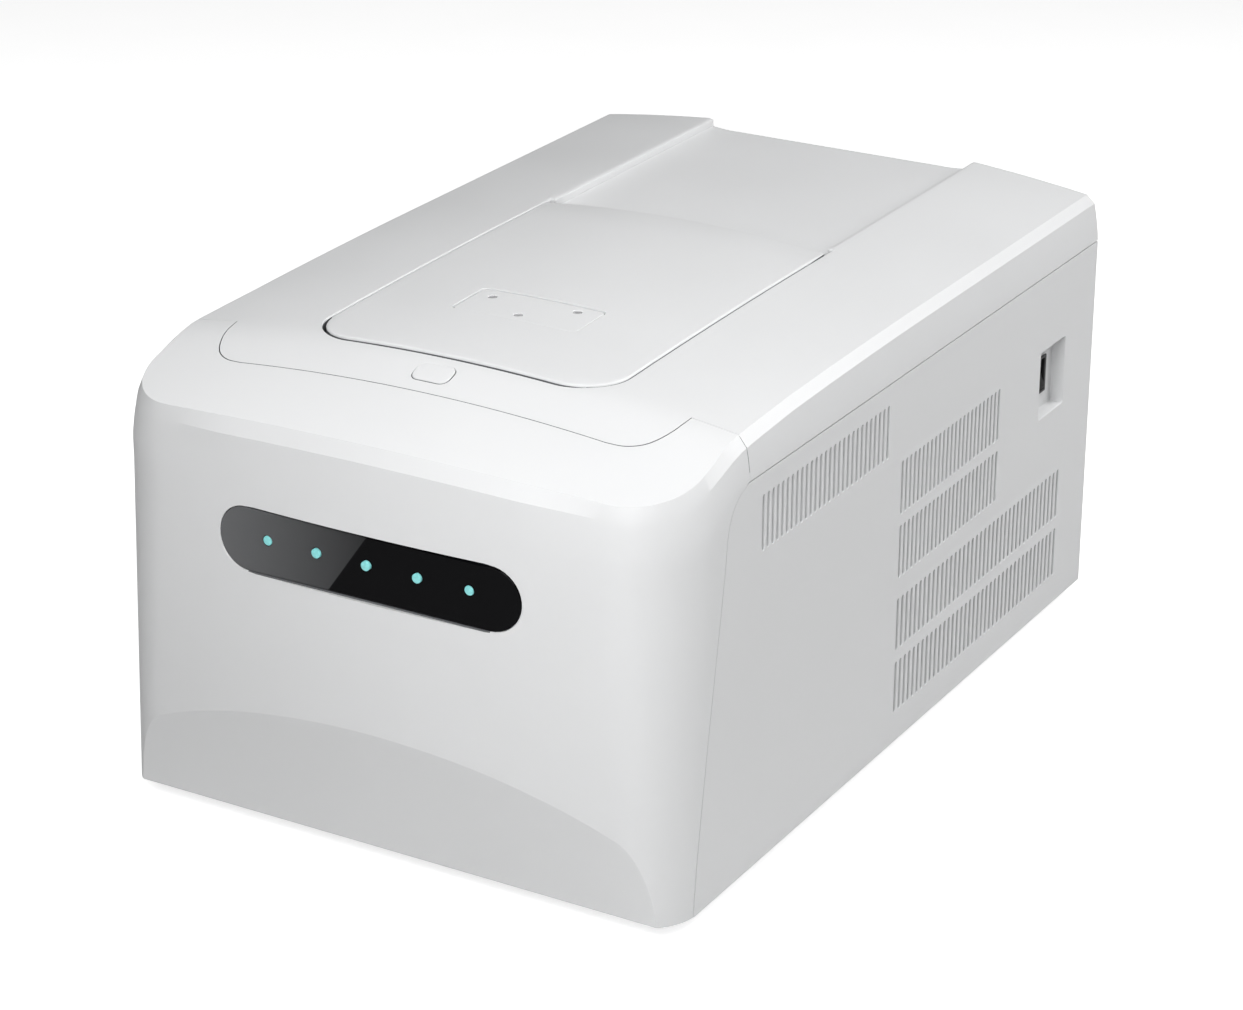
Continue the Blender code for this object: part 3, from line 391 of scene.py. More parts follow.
def finish(piece, name, mat, body, nodes, crease=CREASE):
    """Name, shade and colour a finished piece, put it on its body and let it stand for its CAD nodes."""
    piece.name = name
    piece.data.name = name
    work = bmesh.new()
    work.from_mesh(piece.data)
    bmesh.ops.remove_doubles(work, verts=work.verts, dist=SAME_PLACE)
    bmesh.ops.dissolve_degenerate(work, edges=work.edges, dist=SAME_PLACE)
    bmesh.ops.recalc_face_normals(work, faces=work.faces)
    work.to_mesh(piece.data)
    work.free()
    piece.data.materials.clear()
    piece.data.materials.append(mat)
    piece.data.shade_smooth()
    piece.data.set_sharp_from_angle(angle=crease)
    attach(piece, body)
    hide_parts(*nodes)
    return piece


# ================================================================ housing surfaces
def ramp(value, start, end):
    """0 before the start, 1 past the end, straight between them."""
    return min(1.0, max(0.0, (value - start) / (end - start)))


def lid_height(x, y):
    """Height of the crowned top, drooping towards the front."""
    droop = max(0.0, DROOP_START - y)
    return CROWN_Z - CROWN * x * x - DROOP * droop * droop


def top_height(x, y):
    """Height of the housing's top: the crown, with a soft bend into the front slope."""
    ahead = SLOPE_START - y
    if ahead > SLOPE_SOFT:
        slope = ahead
    elif ahead > -SLOPE_SOFT:
        slope = (ahead + SLOPE_SOFT) ** 2 / (4 * SLOPE_SOFT)
    else:
        slope = 0.0
    return lid_height(x, y) - SLOPE * slope


def plan(inset, corner, detail):
    """Plan outline of the housing from the right rear corner round the front to the left rear corner."""
    half = HALF - inset
    radius = corner - inset
    centre_x = half - radius
    join = centre_x
    for _ in range(12):
        angle = math.atan(2 * FRONT_BOW * join)
        join = centre_x + radius * math.sin(angle)
    centre_y = FRONT + inset + FRONT_BOW * join * join + radius * math.cos(angle)
    arc = 7 * detail
    side = []
    for i in range(arc + 1):
        turn = math.pi / 2 + (angle - math.pi / 2) * i / arc
        side.append((centre_x + radius * math.sin(turn), centre_y - radius * math.cos(turn)))
    bow = 8 * detail
    front = []
    for i in range(1, bow):
        x = join * (1 - 2 * i / bow)
        front.append((x, FRONT + inset + FRONT_BOW * x * x))
    stations = [BACK - inset, DROOP_START]
    stations += [DROOP_START - 0.2100 * i / (6 * detail) for i in range(1, 6 * detail + 1)]
    right = [(half, y) for y in stations]
    left = [(-x, y) for x, y in reversed(side)]
    return right + side + front + left + [(-x, y) for x, y in reversed(right)]


def inward(points, index):
    """Unit vector into the housing at one point of a plan outline."""
    if index in (0, len(points) - 1):
        return Vector((-math.copysign(1.0, points[index][0]), 0.0))
    along = (Vector(points[index + 1]) - Vector(points[index - 1])).normalized()
    return Vector((along.y, -along.x))


def chamfer(y):
    """Reach and height of the edge chamfer at a point of the plan."""
    t = ramp(y, *CHAMFER_BLEND)
    reach = CHAMFER_SIDE[0] + (CHAMFER_FRONT[0] - CHAMFER_SIDE[0]) * t
    height = CHAMFER_SIDE[1] + (CHAMFER_FRONT[1] - CHAMFER_SIDE[1]) * t
    return reach, height


def knee_height(y, rim):
    """Where the wall starts to lean: at the seam along the sides, a fixed rise below the rim in front."""
    lower = ramp(y, *KNEE_BLEND)
    return min(SEAM_Z + (rim - LEAN_RISE - SEAM_Z) * lower, rim - 0.001)


def crown_block(drop, surface, fine=True):
    """Everything below a crowned surface, lowered by a distance."""
    columns = 60 if fine else 12
    rows = 40 if fine else 10
    xs = [-0.18 + 0.36 * i / columns for i in range(columns + 1)]
    ys = [0.31, DROOP_START] + [DROOP_START - 0.2920 * i / rows for i in range(1, rows + 1)] + [-0.31]
    wide = len(xs)
    tall = len(ys)
    verts = [(x, y, surface(x, y) - drop) for y in ys for x in xs] + [(x, y, -0.05) for y in ys for x in xs]
    base = wide * tall
    faces = []
    for r in range(tall - 1):
        for c in range(wide - 1):
            a = r * wide + c
            faces.append((a, a + 1, a + wide + 1, a + wide))
            faces.append((base + a, base + a + wide, base + a + wide + 1, base + a + 1))
        for c in (0, wide - 1):
            a = r * wide + c
            faces.append((a, a + wide, base + a + wide, base + a))
    for c in range(wide - 1):
        for r in (0, tall - 1):
            a = r * wide + c
            faces.append((a, a + 1, base + a + 1, base + a))
    return solid(verts, faces)


def envelope(inset, base, detail):
    """The whole housing as one block, its walls moved inward by an inset."""
    upper = plan(inset, CORNER_TOP, detail)
    lower = plan(inset, CORNER_BASE, detail)
    rings = []
    if base < CORNER_TOP_Z:
        levels = 2 * detail
        for k in range(levels):
            t = k / levels
            z = base + (CORNER_TOP_Z - base) * t
            rings.append([(a[0] + (b[0] - a[0]) * t, a[1] + (b[1] - a[1]) * t, z)
                          for a, b in zip(lower, upper)])
    rings.append([(x, y, max(base, CORNER_TOP_Z)) for x, y in upper])
    steps = 2 * detail
    walls = [[] for _ in range(steps + 1)]
    beyond = []
    for i, (x, y) in enumerate(upper):
        reach, height = chamfer(y)
        into = inward(upper, i)
        start = Vector((x, y))
        inner = start + into * reach
        top = top_height(inner.x, inner.y) - inset - height
        foot = knee_height(y, top)
        full = LEAN * ramp(abs(x), *LEAN_FROM_X) * ramp(top, foot, foot + LEAN_RISE)
        for k in range(steps + 1):
            t = k / steps
            edge = start + into * (full * t ** LEAN_CURVE)
            walls[k].append((edge.x, edge.y, foot + (top - foot) * t))
        past = edge + (inner - edge) * CHAMFER_PAST
        beyond.append((past.x, past.y, top + height * CHAMFER_PAST))
    high = [(x, y, HIGH) for x, y, _ in beyond]
    return within(loft(rings + walls + [beyond, high]), crown_block(inset, top_height, detail > 1))


def chin(inset, steps):
    """What is cut away below the front face: a slanting undercut that rises to an arch."""
    face = []
    for i in range(steps + 1):
        t = 1 - i / steps
        z = BODY_BASE + (CHIN_TOP - BODY_BASE) * t
        face.append((FRONT + CHIN_RECESS * (1 - t ** CHIN_CURVE) + inset, z))
    face.append((face[-1][0], LOW))
    points = [(FRONT - 0.05, CHIN_TOP + 0.004), (FRONT - 0.002 + inset, CHIN_TOP + 0.004)] + face
    points.append((FRONT - 0.05, LOW))
    return prism(points, "X", LOW, HIGH)


def behind_edge(gap, low, high):
    """Everything behind the front moulding's edge, between two heights, as (y, z)."""
    edge = [(y + gap, z) for y, z in smooth_line(FASCIA_EDGE)]
    inside = [(y, z) for y, z in edge if low < z < high]
    start = [(interpolate(edge, low), low)]
    end = [(interpolate(edge, high), high), (HIGH, high), (HIGH, low)]
    return start + inside + end


def interpolate(edge, z):
    """How far back the moulding's edge lies at a height."""
    for (y0, z0), (y1, z1) in zip(edge[:-1], edge[1:]):
        if z0 <= z <= z1:
            return y0 + (y1 - y0) * (z - z0) / (z1 - z0)
    return edge[-1][0]


def tongue(grow, low):
    """The tongue of the top cover, as an upright prism."""
    right = [(x + grow, y - grow) for x, y in smooth_line(TONGUE)]
    left = [(-x, y) for x, y in reversed(right)]
    return prism(right + left, "Z", low, HIGH)


def opening(grow, rear):
    """Plan of the lid opening and the narrower sunken strip behind it, anticlockwise."""
    half = OPEN_HALF + grow
    front = OPEN_FRONT - grow
    radius = LID_CORNER + LID_GAP + grow
    right = circle((half - radius, front + radius), radius, 16, -math.pi / 2, math.pi / 2)
    narrow = DECK_HALF + grow
    step = DECK_STEP + grow
    right += [(half, step), (narrow, step), (narrow, rear)] if rear > step else [(half, rear)]
    left = [(-x, y) for x, y in reversed(right)]
    return right + left


# ================================================================ housing pieces
def outer_skin():
    """Search tree of the closed housing's outside, used to tell inner faces from outer ones."""
    whole = minus(envelope(0.0, BODY_BASE, 2), chin(0.0, 12))
    work = bmesh.new()
    work.from_mesh(whole.data)
    tree = BVHTree.FromBMesh(work)
    work.free()
    bpy.data.objects.remove(whole, do_unlink=True)
    return tree


def paint_gap_shade(piece, skin, mat, shown=()):
    """Faces well below the housing's outside are painted dark grey as painted shade for the shadow in the
    gaps and hollows, apart from those in shown boxes.
    """
    piece.data.materials.append(mat)
    for face in piece.data.polygons:
        if any(in_box(face.center, *corners) for corners in shown):
            continue
        # painted shade: faces this deep take the dark grey of the second slot
        if skin.find_nearest(face.center)[3] > SHADE_DEPTH:
            face.material_index = 1


def in_box(point, lows, highs):
    return all(low <= c <= high for low, c, high in zip(lows, point, highs))


def shown_boxes():
    """Parts of the cover's inner faces that show and keep the shell's colour, left out of the painted gap
    shade, as pairs of corners.
    """
    behind = BUTTON_Y + BUTTON_SIZE[1] / 2
    rail_walls = ((-HALF, DECK_STEP, DECK_TOP - 0.03), (HALF, BACK, HIGH))
    foot_edge = ((-HALF, FRONT, 0.0), (HALF, BACK, SEAM_Z + 0.001))
    left_edge = ((-HALF, OPEN_FRONT + 0.012, DECK_TOP - 0.005), (0.0, BACK, HIGH))
    behind_button = ((-0.02, behind - 0.001, DECK_TOP - 0.03), (0.02, OPEN_FRONT - 0.001, HIGH))
    rear_corner = ((0.0, DECK_STEP - 0.010, DECK_TOP - 0.010), (HALF, BACK, HIGH))
    return [rail_walls, foot_edge, left_edge, behind_button, rear_corner]


def front_fascia(mat):
    piece = minus(envelope(0.0, BODY_BASE, 4), chin(0.0, 24))
    edge = smooth_line(FASCIA_EDGE)
    within(piece, prism([(LOW, -0.010)] + edge + [(LOW, edge[-1][1])], "X", LOW, HIGH))
    hollow = minus(envelope(WALL, BODY_BASE - 0.01, 1), chin(WALL, 6))
    minus(piece, hollow, tongue(SEAM, SEAM_Z), window_cutter())
    return finish(piece, "fascia_shell", mat, "chassis", ["front_fascia"])


def window_cutter():
    """Pill-shaped cutter whose mouth flares a little at the bowed front."""
    rings = []
    flare = ((0.0003, 0.02), (0.0003, 0.0006), (0.0004, 0.0003), (0.0006, 0.0001), (0.0010, -0.0002))
    for grow, depth in flare:
        outline = stadium(PILL_HALF + grow, PILL_RADIUS + grow)
        rings.append([(x + PILL_X, front_y(x) + depth, z + PILL_Z) for x, z in outline])
    rings.append([(x, LOW, z) for x, _, z in rings[-1]])
    return loft(rings)


def rail_round(y):
    """Rounding of the cover's inner edge: fine beside the lid, broad along the sunken strip."""
    t = ramp(y, DECK_STEP - 0.004, DECK_STEP)
    size = 0.0005 + 0.0004 * ramp(y, OPEN_FRONT + 0.008, OPEN_FRONT + 0.020)
    return (size + (0.0030 - size) * t, size + (0.0012 - size) * t)


def top_cover(mat):
    piece = envelope(0.0, CORNER_TOP_Z, 4)
    region = plus(prism(behind_edge(SEAM, COLLAR_BASE, 0.305), "X", LOW, HIGH), tongue(0.0, COLLAR_BASE))
    within(piece, region)
    void = envelope(WALL, CORNER_TOP_Z, 1)
    plus(void, box((LOW, LOW, 0.19), (HIGH, HIGH, SEAM_Z + SEAM)))
    minus(void, prism(opening(COLLAR, HIGH), "Z", 0.15, HIGH))
    minus(piece, void)
    minus(piece, prism(opening(0.0, BACK - WALL - 0.0004), "Z", 0.15, HIGH))
    minus(piece, box((-DECK_HALF, 0.2, DECK_TOP - 0.0034), (DECK_HALF, HIGH, HIGH)))
    mouth = subdivide(opening(-TOUCH, HIGH), 0.008)
    sizes = [rail_round(y) for _, y in mouth]
    minus(piece, edge_cutter(mouth, sizes))
    minus(piece, button_body(BUTTON_GAP, BUTTON_GAP, 1))
    minus(piece, box((LOW, BACK - 0.0070, 0.15), (HIGH, HIGH, SEAM_Z + SEAM)))
    return finish(piece, "cover_shell", mat, "chassis", ["top_cover"])


def edge_cutter(outline, sizes):
    """Rounds the edge of a hole that is already cut: a shallow flared ring that follows the surface."""
    rings = [[(x, y, top_height(x, y) - drop - 0.0008) for (x, y), (_, drop) in zip(outline, sizes)]]
    for step in range(ROUND_STEPS + 1):
        angle = ROUND_END * step / ROUND_STEPS
        ring = offset(outline, [reach * (1 - math.cos(angle)) + TOUCH for reach, _ in sizes])
        rings.append([(x, y, top_height(x, y) - drop * (1 - math.sin(angle)))
                      for (x, y), (_, drop) in zip(ring, sizes)])
    past = offset(outline, [reach * (1 - math.cos(ROUND_END) + 0.5) for reach, _ in sizes])
    rings.append([(x, y, top_height(x, y) + drop * 0.12) for (x, y), (_, drop) in zip(past, sizes)])
    rings.append([(x, y, HIGH) for x, y in past])
    return loft(rings)


def rear_deck(mat):
    """Sunken strip behind the lid that sweeps up to the rails, with the trough in front of it."""
    half = DECK_HALF - SEAM
    inner = DECK_FRONT + DECK_PANEL
    under = DECK_TOP - 0.003
    rings = []
    count = 56
    for i in range(count + 1):
        x = half * math.sin(math.pi * (i / count - 0.5))
        sweep = max(0.0, (abs(x) - (half - DECK_SWEEP)) / DECK_SWEEP)
        top = DECK_TOP + DECK_RISE * sweep * sweep
        profile = [
            (TROUGH_FRONT, TROUGH_Z), (inner, TROUGH_Z), (inner, under),
            (BACK - 0.0003, under), (BACK - 0.0003, top - 0.0006), (BACK - 0.0009, top),
            (DECK_FRONT + 0.0008, top), (DECK_FRONT + 0.0003, top - 0.0003), (DECK_FRONT, top - 0.0010),
            (DECK_FRONT, TROUGH_Z + DECK_PANEL), (TROUGH_FRONT, TROUGH_Z + DECK_PANEL),
        ]
        rings.append([(x, y, z) for y, z in profile])
    return finish(loft(rings), "deck_shell", mat, "chassis", ["rear_deck"])


def slot_cutters(groups):
    """Vent slots with round ends whose outer edges are broken."""
    cutters = []
    for start, pitch, count, low, high in groups:
        radius = pitch / 4
        half = (high - low) / 2
        for i in range(count):
            y = start + i * pitch + radius
            z = (low + high) / 2
            rings = []
            for grow, x in ((0.0, 0.150), (0.0, HALF - 0.0003), (0.0003, HALF + 0.00005), (0.0003, 0.170)):
                outline = stadium(half + grow, radius + grow, 7)
                rings.append([(x, y - v, z + u) for u, v in outline])
            cutters.append(loft(rings))
    return several(cutters)


def pocket_cutter():
    """Recess for the power switch, with a soft floor edge and a broken mouth."""
    floor = HALF - POCKET_DEPTH
    rings = []
    for k in range(7):
        angle = math.pi / 2 * k / 6
        rings.append((-POCKET_SOFT * (1 - math.sin(angle)), floor + POCKET_SOFT * (1 - math.cos(angle))))
    rings += [(0.0, HALF - 0.0005), (0.0001, HALF - 0.0002), (0.0004, HALF + 0.0001), (0.0004, HALF + 0.01)]
    made = []
    for grow, x in rings:
        outline = rounded(POCKET_Y[0] - grow, POCKET_Z[0] - grow, POCKET_Y[1] + grow, POCKET_Z[1] + grow,
                          POCKET_CORNER + grow, 6)
        made.append([(x, y, z) for y, z in outline])
    return loft(made)


def side_panel(mat, side):
    """A flat lower side wall. The right one has more vents and the recess for the power switch."""
    outline = behind_edge(SEAM, BODY_BASE, SEAM_Z - SEAM)
    outline[-2] = (BACK, outline[-2][1])
    outline[-1] = (BACK, outline[-1][1])
    piece = prism(outline, "X", HALF - PANEL, HALF)
    if side > 0:
        floor = HALF - POCKET_DEPTH
        plus(piece, box((floor - POCKET_WALL, POCKET_Y[0] - POCKET_WALL, POCKET_Z[0] - POCKET_WALL),
                        (HALF - 0.0005, POCKET_Y[1] + POCKET_WALL, POCKET_Z[1] + POCKET_WALL)))
        minus(piece, pocket_cutter())
        half_y, half_z = SWITCH_HALF
        minus(piece, box((0.1, SWITCH_Y - half_y, SWITCH_Z - half_z),
                         (0.16, SWITCH_Y + half_y, SWITCH_Z + half_z)))
    minus(piece, slot_cutters(VENTS_RIGHT if side > 0 else VENTS_LEFT))
    if side < 0:
        piece.data.transform(Matrix.Scale(-1, 4, (1, 0, 0)))
    name = "right" if side > 0 else "left"
    nodes = [name + "_side_panel"]
    return finish(piece, name + "_wall_shell", mat, "chassis", nodes, math.radians(28))


# ================================================================ front indicator
def light_places():
    return [LIGHT_X + i * LIGHT_PITCH for i in range(-2, 3)]


def front_y(x):
    """How far forward the bowed front face lies."""
    return FRONT + FRONT_BOW * x * x


def indicator_window(mat):
    rings = []
    for inset, depth in ((0.0, 0.0028), (0.0, 0.0005), (0.0001, 0.0002), (0.0004, 0.0), (0.0008, -0.0002)):
        outline = stadium(PILL_HALF - inset, PILL_RADIUS - inset)
        rings.append([(x + PILL_X, front_y(x) + depth, z + PILL_Z) for x, z in outline])
    piece = within(loft(rings), bowed_slab(0.0001))
    holes = [cylinder((x, LIGHT_Z), "Y", LIGHT_RADIUS + LIGHT_GAP, LOW, 0.0) for x in light_places()]
    minus(piece, several(holes))
    nodes = ["indicator_window"]
    return finish(piece, "window_pane", mat, "chassis", nodes, math.radians(25))


def bowed_slab(inset):
    """Everything behind the bowed front, for the window's face."""
    xs = [-0.10 + 0.20 * i / 60 for i in range(61)]
    front = [(x, front_y(x) + inset) for x in xs]
    return prism(front + [(0.10, -0.20), (-0.10, -0.20)], "Z", 0.10, 0.22)


def indicator_light(mat, number, x):
    """A small domed lens."""
    face = front_y(x) + LIGHT_SINK
    rings = [[(px, LIGHT_BASE, pz) for px, pz in circle((x, LIGHT_Z), LIGHT_RADIUS, 32)]]
    for k in range(7):
        angle = math.pi / 2 * k / 6.5
        radius = LIGHT_RADIUS * math.cos(angle)
        y = face - 0.0004 * math.sin(angle)
        rings.append([(px, y, pz) for px, pz in circle((x, LIGHT_Z), radius, 32)])
    name = "indicator_light_%d" % number
    return finish(loft(rings), name + "_lens", mat, "chassis", [name], math.radians(40))


# ================================================================ lid
def lid_outline():
    """Plan of the lid: round front corners, rear edge bowed outward a little, anticlockwise."""
    half = LID_HALF
    right = circle((half - LID_CORNER, LID_FRONT + LID_CORNER), LID_CORNER, 20, -math.pi / 2, math.pi / 2)
    corner = LID_REAR_CORNER
    rear_y = LID_REAR - LID_REAR_BOW * half * half
    right += circle((half - corner, rear_y - corner), corner, 5, 0.0, math.pi / 2)
    rear = [(x, LID_REAR - LID_REAR_BOW * x * x) for x in (half * (1 - i / 14) for i in range(1, 28))]
    left = [(-x, y) for x, y in reversed(right)]
    return subdivide(right + rear + left, 0.010)


def lid_round(y):
    """Rounding of the lid's edge: soft at the front and sides, crisp at the rear."""
    size = LID_EDGE - 0.0010 * ramp(y, 0.040, 0.056)
    return (size, size * 0.85)


def lid_panel(mat):
    outline = lid_outline()
    sizes = [lid_round(y) for _, y in outline]
    piece = within(rounded_prism(outline, sizes, -1, lid_height, 0.1, HIGH), crown_block(0.0, lid_height))
    minus(piece, crown_block(LID_SKIRT, lid_height, False))
    inner = offset(outline, [-LID_WALL] * len(outline))
    minus(piece, within(prism(inner, "Z", 0.1, HIGH), crown_block(WALL, lid_height, False)))
    grown = plate_outline(PLATE_GAP)
    recess = rounded_prism(grown, [(PLATE_SINK, PLATE_SINK)] * len(grown), 1, lid_height, 0.1, HIGH)
    minus(piece, minus(recess, crown_block(PLATE_RECESS, lid_height)))
    return finish(piece, "lid_shell", mat, "lid", ["lid_panel"])


def plate_outline(grow):
    x0, y0, x1, y1 = PLATE
    return subdivide(rounded(x0 - grow, y0 - grow, x1 + grow, y1 + grow, PLATE_CORNER + grow, 8), 0.006)


def lid_access_plate(mat):
    """The small plate let into the lid, with three countersunk screw holes."""
    outline = plate_outline(-PLATE_GAP)
    rounding = (PLATE_EDGE, PLATE_EDGE)

    def surface(x, y):
        return lid_height(x, y) - PLATE_SINK

    piece = within(rounded_prism(outline, [rounding] * len(outline), -1, surface, 0.1, HIGH),
                   crown_block(PLATE_SINK, lid_height))
    minus(piece, crown_block(PLATE_BASE, lid_height))
    holes = []
    for x, y in LID_SCREWS:
        hole = circle((x, y), SCREW_HOLE, 32)
        holes.append(rounded_prism(hole, [rounding] * len(hole), 1, surface, 0.1, HIGH))
    minus(piece, several(holes))
    return finish(piece, "access_plate_shell", mat, "lid", ["lid_access_plate"])


def lid_screw(mat, number, x, y):
    """A domed screw head with a cross recess, sunk in the plate."""
    top = lid_height(x, y) - SCREW_SINK
    rings = [[(px, py, top - 2 * SCREW_DOME) for px, py in circle((x, y), SCREW_RADIUS, 32)]]
    for k in range(6):
        angle = math.pi / 2 * k / 6
        rings.append([(px, py, top - SCREW_DOME + SCREW_DOME * math.sin(angle))
                      for px, py in circle((x, y), SCREW_RADIUS * math.cos(angle) ** 0.6, 32)])
    piece = loft(rings)
    turn = 0.4 + number
    for k in range(2):
        cut = box((-0.0010, -0.00018, -0.00025), (0.0010, 0.00018, 0.001))
        cut.data.transform(Matrix.Translation((x, y, top)) @ Matrix.Rotation(turn + k * math.pi / 2, 4, "Z"))
        minus(piece, cut)
    name = "lid_screw_%d" % number
    return finish(piece, name + "_head", mat, "lid", [name], math.radians(30))


# ================================================================ button and block
def button_body(grow, edge, sign):
    """The button's outline as a prism: a piece that closes in, or the cutter for its hole that flares."""
    dx = BUTTON_SIZE[0] / 2 + grow
    dy = BUTTON_SIZE[1] / 2 + grow
    outline = subdivide(rounded(-dx, BUTTON_Y - dy, dx, BUTTON_Y + dy, BUTTON_CORNER + grow, 10), 0.004)

    def surface(x, y):
        return top_height(x, y) + (BUTTON_PROUD if sign < 0 else 0.0)

    return rounded_prism(outline, [(edge, edge)] * len(outline), sign, surface, 0.15, HIGH)


def release_button(mat):
    """The cap, a little proud of the cover, with its stem."""
    piece = within(button_body(0.0, BUTTON_EDGE, -1), crown_block(-BUTTON_PROUD, top_height))
    minus(piece, crown_block(BUTTON_DEPTH, top_height, False))
    under = top_height(0.0, BUTTON_Y) - BUTTON_DEPTH + 0.001
    plus(piece, cylinder((0.0, BUTTON_Y), "Z", STEM_RADIUS, LATCH_Z + 0.0045, under))
    return finish(piece, "button_cap", mat, "button", ["release_button"])


def sample_block(mat):
    """Aluminium block with 96 round tapered wells, each with a small lead-in, laid out cell by cell."""
    sides = 24
    verts = []
    faces = []
    half = WELL_PITCH / 2
    for i in range(WELL_COLUMNS):
        for j in range(WELL_ROWS):
            x = (i - WELL_COLUMNS / 2 + 0.5) * WELL_PITCH
            y = BLOCK_Y + (j - WELL_ROWS / 2 + 0.5) * WELL_PITCH
            start = len(verts)
            for k in range(sides):
                a = 2 * math.pi * k / sides
                reach = half / max(abs(math.cos(a)), abs(math.sin(a)))
                verts.append((x + reach * math.cos(a), y + reach * math.sin(a), BLOCK_TOP))
            for radius, depth in WELL_WALL:
                verts += [(px, py, BLOCK_TOP - depth) for px, py in circle((x, y), radius, sides)]
            for level in range(len(WELL_WALL)):
                for k in range(sides):
                    n = (k + 1) % sides
                    a = start + level * sides
                    faces.append((a + k, a + n, a + sides + n, a + sides + k))
            faces.append([start + len(WELL_WALL) * sides + k for k in range(sides)])
    field = solid(verts, faces)
    work = bmesh.new()
    work.from_mesh(field.data)
    bmesh.ops.remove_doubles(work, verts=work.verts, dist=0.00002)
    close_block(work)
    bmesh.ops.recalc_face_normals(work, faces=work.faces)
    work.to_mesh(field.data)
    work.free()
    return finish(field, "block_body", mat, "chassis", ["sample_block"], math.radians(30))


def close_block(work):
    """Add the margin, a broken top edge, the sides and the base round the field of wells."""
    sx = BLOCK_SIZE[0] / (WELL_COLUMNS * WELL_PITCH)
    sy = BLOCK_SIZE[1] / (WELL_ROWS * WELL_PITCH)
    edges = [e for e in work.edges if len(e.link_faces) == 1]
    for outward, z in ((-BLOCK_EDGE, BLOCK_TOP), (BLOCK_EDGE, BLOCK_TOP - BLOCK_EDGE), (0.0, BLOCK_BASE)):
        made = bmesh.ops.extrude_edge_only(work, edges=edges)["geom"]
        edges = [g for g in made if isinstance(g, bmesh.types.BMEdge)]
        for vert in {v for e in edges for v in e.verts}:
            if z == BLOCK_TOP:
                vert.co.x *= sx
                vert.co.y = BLOCK_Y + (vert.co.y - BLOCK_Y) * sy
            vert.co.x += math.copysign(1.0, vert.co.x) * outward
            vert.co.y += math.copysign(1.0, vert.co.y - BLOCK_Y) * outward
            vert.co.z = z
    bmesh.ops.contextual_create(work, geom=edges)


# ================================================================ materials
def shader_of(mat):
    return mat.node_tree.nodes["Principled BSDF"]


def grained(name, colour, roughness, grain, depth, metallic=0.0, tint=0.03, patch=14.0, coat=0.0):
    """A moulded or cast finish: fine raised grain, and slow drifts of colour and gloss.

    grain is the size of the grain and depth its height, both in metres.
    """
    mat = bpy.data.materials.new(name)
    mat.use_nodes = True
    nodes = mat.node_tree.nodes
    links = mat.node_tree.links
    shader = shader_of(mat)
    shader.inputs["Metallic"].default_value = metallic
    shader.inputs["Coat Weight"].default_value = coat
    where = nodes.new("ShaderNodeTexCoord")

    fine = nodes.new("ShaderNodeTexNoise")
    fine.inputs["Scale"].default_value = 1.0 / grain
    fine.inputs["Detail"].default_value = 2.0
    links.new(where.outputs["Object"], fine.inputs["Vector"])
    bump = nodes.new("ShaderNodeBump")
    bump.inputs["Strength"].default_value = 0.6
    bump.inputs["Distance"].default_value = depth
    links.new(fine.outputs["Fac"], bump.inputs["Height"])
    links.new(bump.outputs["Normal"], shader.inputs["Normal"])

    slow = nodes.new("ShaderNodeTexNoise")
    slow.inputs["Scale"].default_value = patch
    slow.inputs["Detail"].default_value = 4.0
    links.new(where.outputs["Object"], slow.inputs["Vector"])
    shade = nodes.new("ShaderNodeValToRGB")
    shade.color_ramp.elements[0].position = 0.3
    shade.color_ramp.elements[1].position = 0.7
    shade.color_ramp.elements[0].color = (*[c * (1.0 - tint) for c in colour], 1.0)
    shade.color_ramp.elements[1].color = (*[min(1.0, c * (1.0 + tint)) for c in colour], 1.0)
    links.new(slow.outputs["Fac"], shade.inputs["Fac"])
    links.new(shade.outputs["Color"], shader.inputs["Base Color"])

    gloss = nodes.new("ShaderNodeMapRange")
    gloss.inputs["From Min"].default_value = 0.3
    gloss.inputs["From Max"].default_value = 0.7
    gloss.inputs["To Min"].default_value = roughness * 0.92
    gloss.inputs["To Max"].default_value = min(1.0, roughness * 1.08)
    links.new(slow.outputs["Fac"], gloss.inputs["Value"])
    links.new(gloss.outputs["Result"], shader.inputs["Roughness"])
    return mat


def brushed(name, colour, roughness, axis):
    """Milled metal with fine lines along one axis."""
    mat = grained(name, colour, roughness, 0.0006, 0.00002, metallic=1.0, tint=0.05, patch=30.0)
    nodes = mat.node_tree.nodes
    links = mat.node_tree.links
    where = nodes.new("ShaderNodeTexCoord")
    stretch = nodes.new("ShaderNodeMapping")
    stretch.inputs["Scale"].default_value = [0.02 if i == axis else 1.0 for i in range(3)]
    lines = nodes.new("ShaderNodeTexNoise")
    lines.inputs["Scale"].default_value = 2500.0
    bump = nodes.new("ShaderNodeBump")
    bump.inputs["Strength"].default_value = 0.35
    bump.inputs["Distance"].default_value = 0.00002
    links.new(where.outputs["Object"], stretch.inputs["Vector"])
    links.new(stretch.outputs["Vector"], lines.inputs["Vector"])
    links.new(lines.outputs["Fac"], bump.inputs["Height"])
    links.new(bump.outputs["Normal"], shader_of(mat).inputs["Normal"])
    return mat


def spangled(name):
    """Galvanised sheet: flat crystals of slightly different grey."""
    mat = grained(name, (0.52, 0.54, 0.56), 0.42, 0.0012, 0.00001, metallic=1.0)
    nodes = mat.node_tree.nodes
    links = mat.node_tree.links
    where = nodes.new("ShaderNodeTexCoord")
    cells = nodes.new("ShaderNodeTexVoronoi")
    cells.inputs["Scale"].default_value = 110.0
    shade = nodes.new("ShaderNodeValToRGB")
    shade.color_ramp.elements[0].color = (0.42, 0.44, 0.46, 1.0)
    shade.color_ramp.elements[1].color = (0.64, 0.66, 0.68, 1.0)
    links.new(where.outputs["Object"], cells.inputs["Vector"])
    links.new(cells.outputs["Color"], shade.inputs["Fac"])
    links.new(shade.outputs["Color"], shader_of(mat).inputs["Base Color"])
    return mat


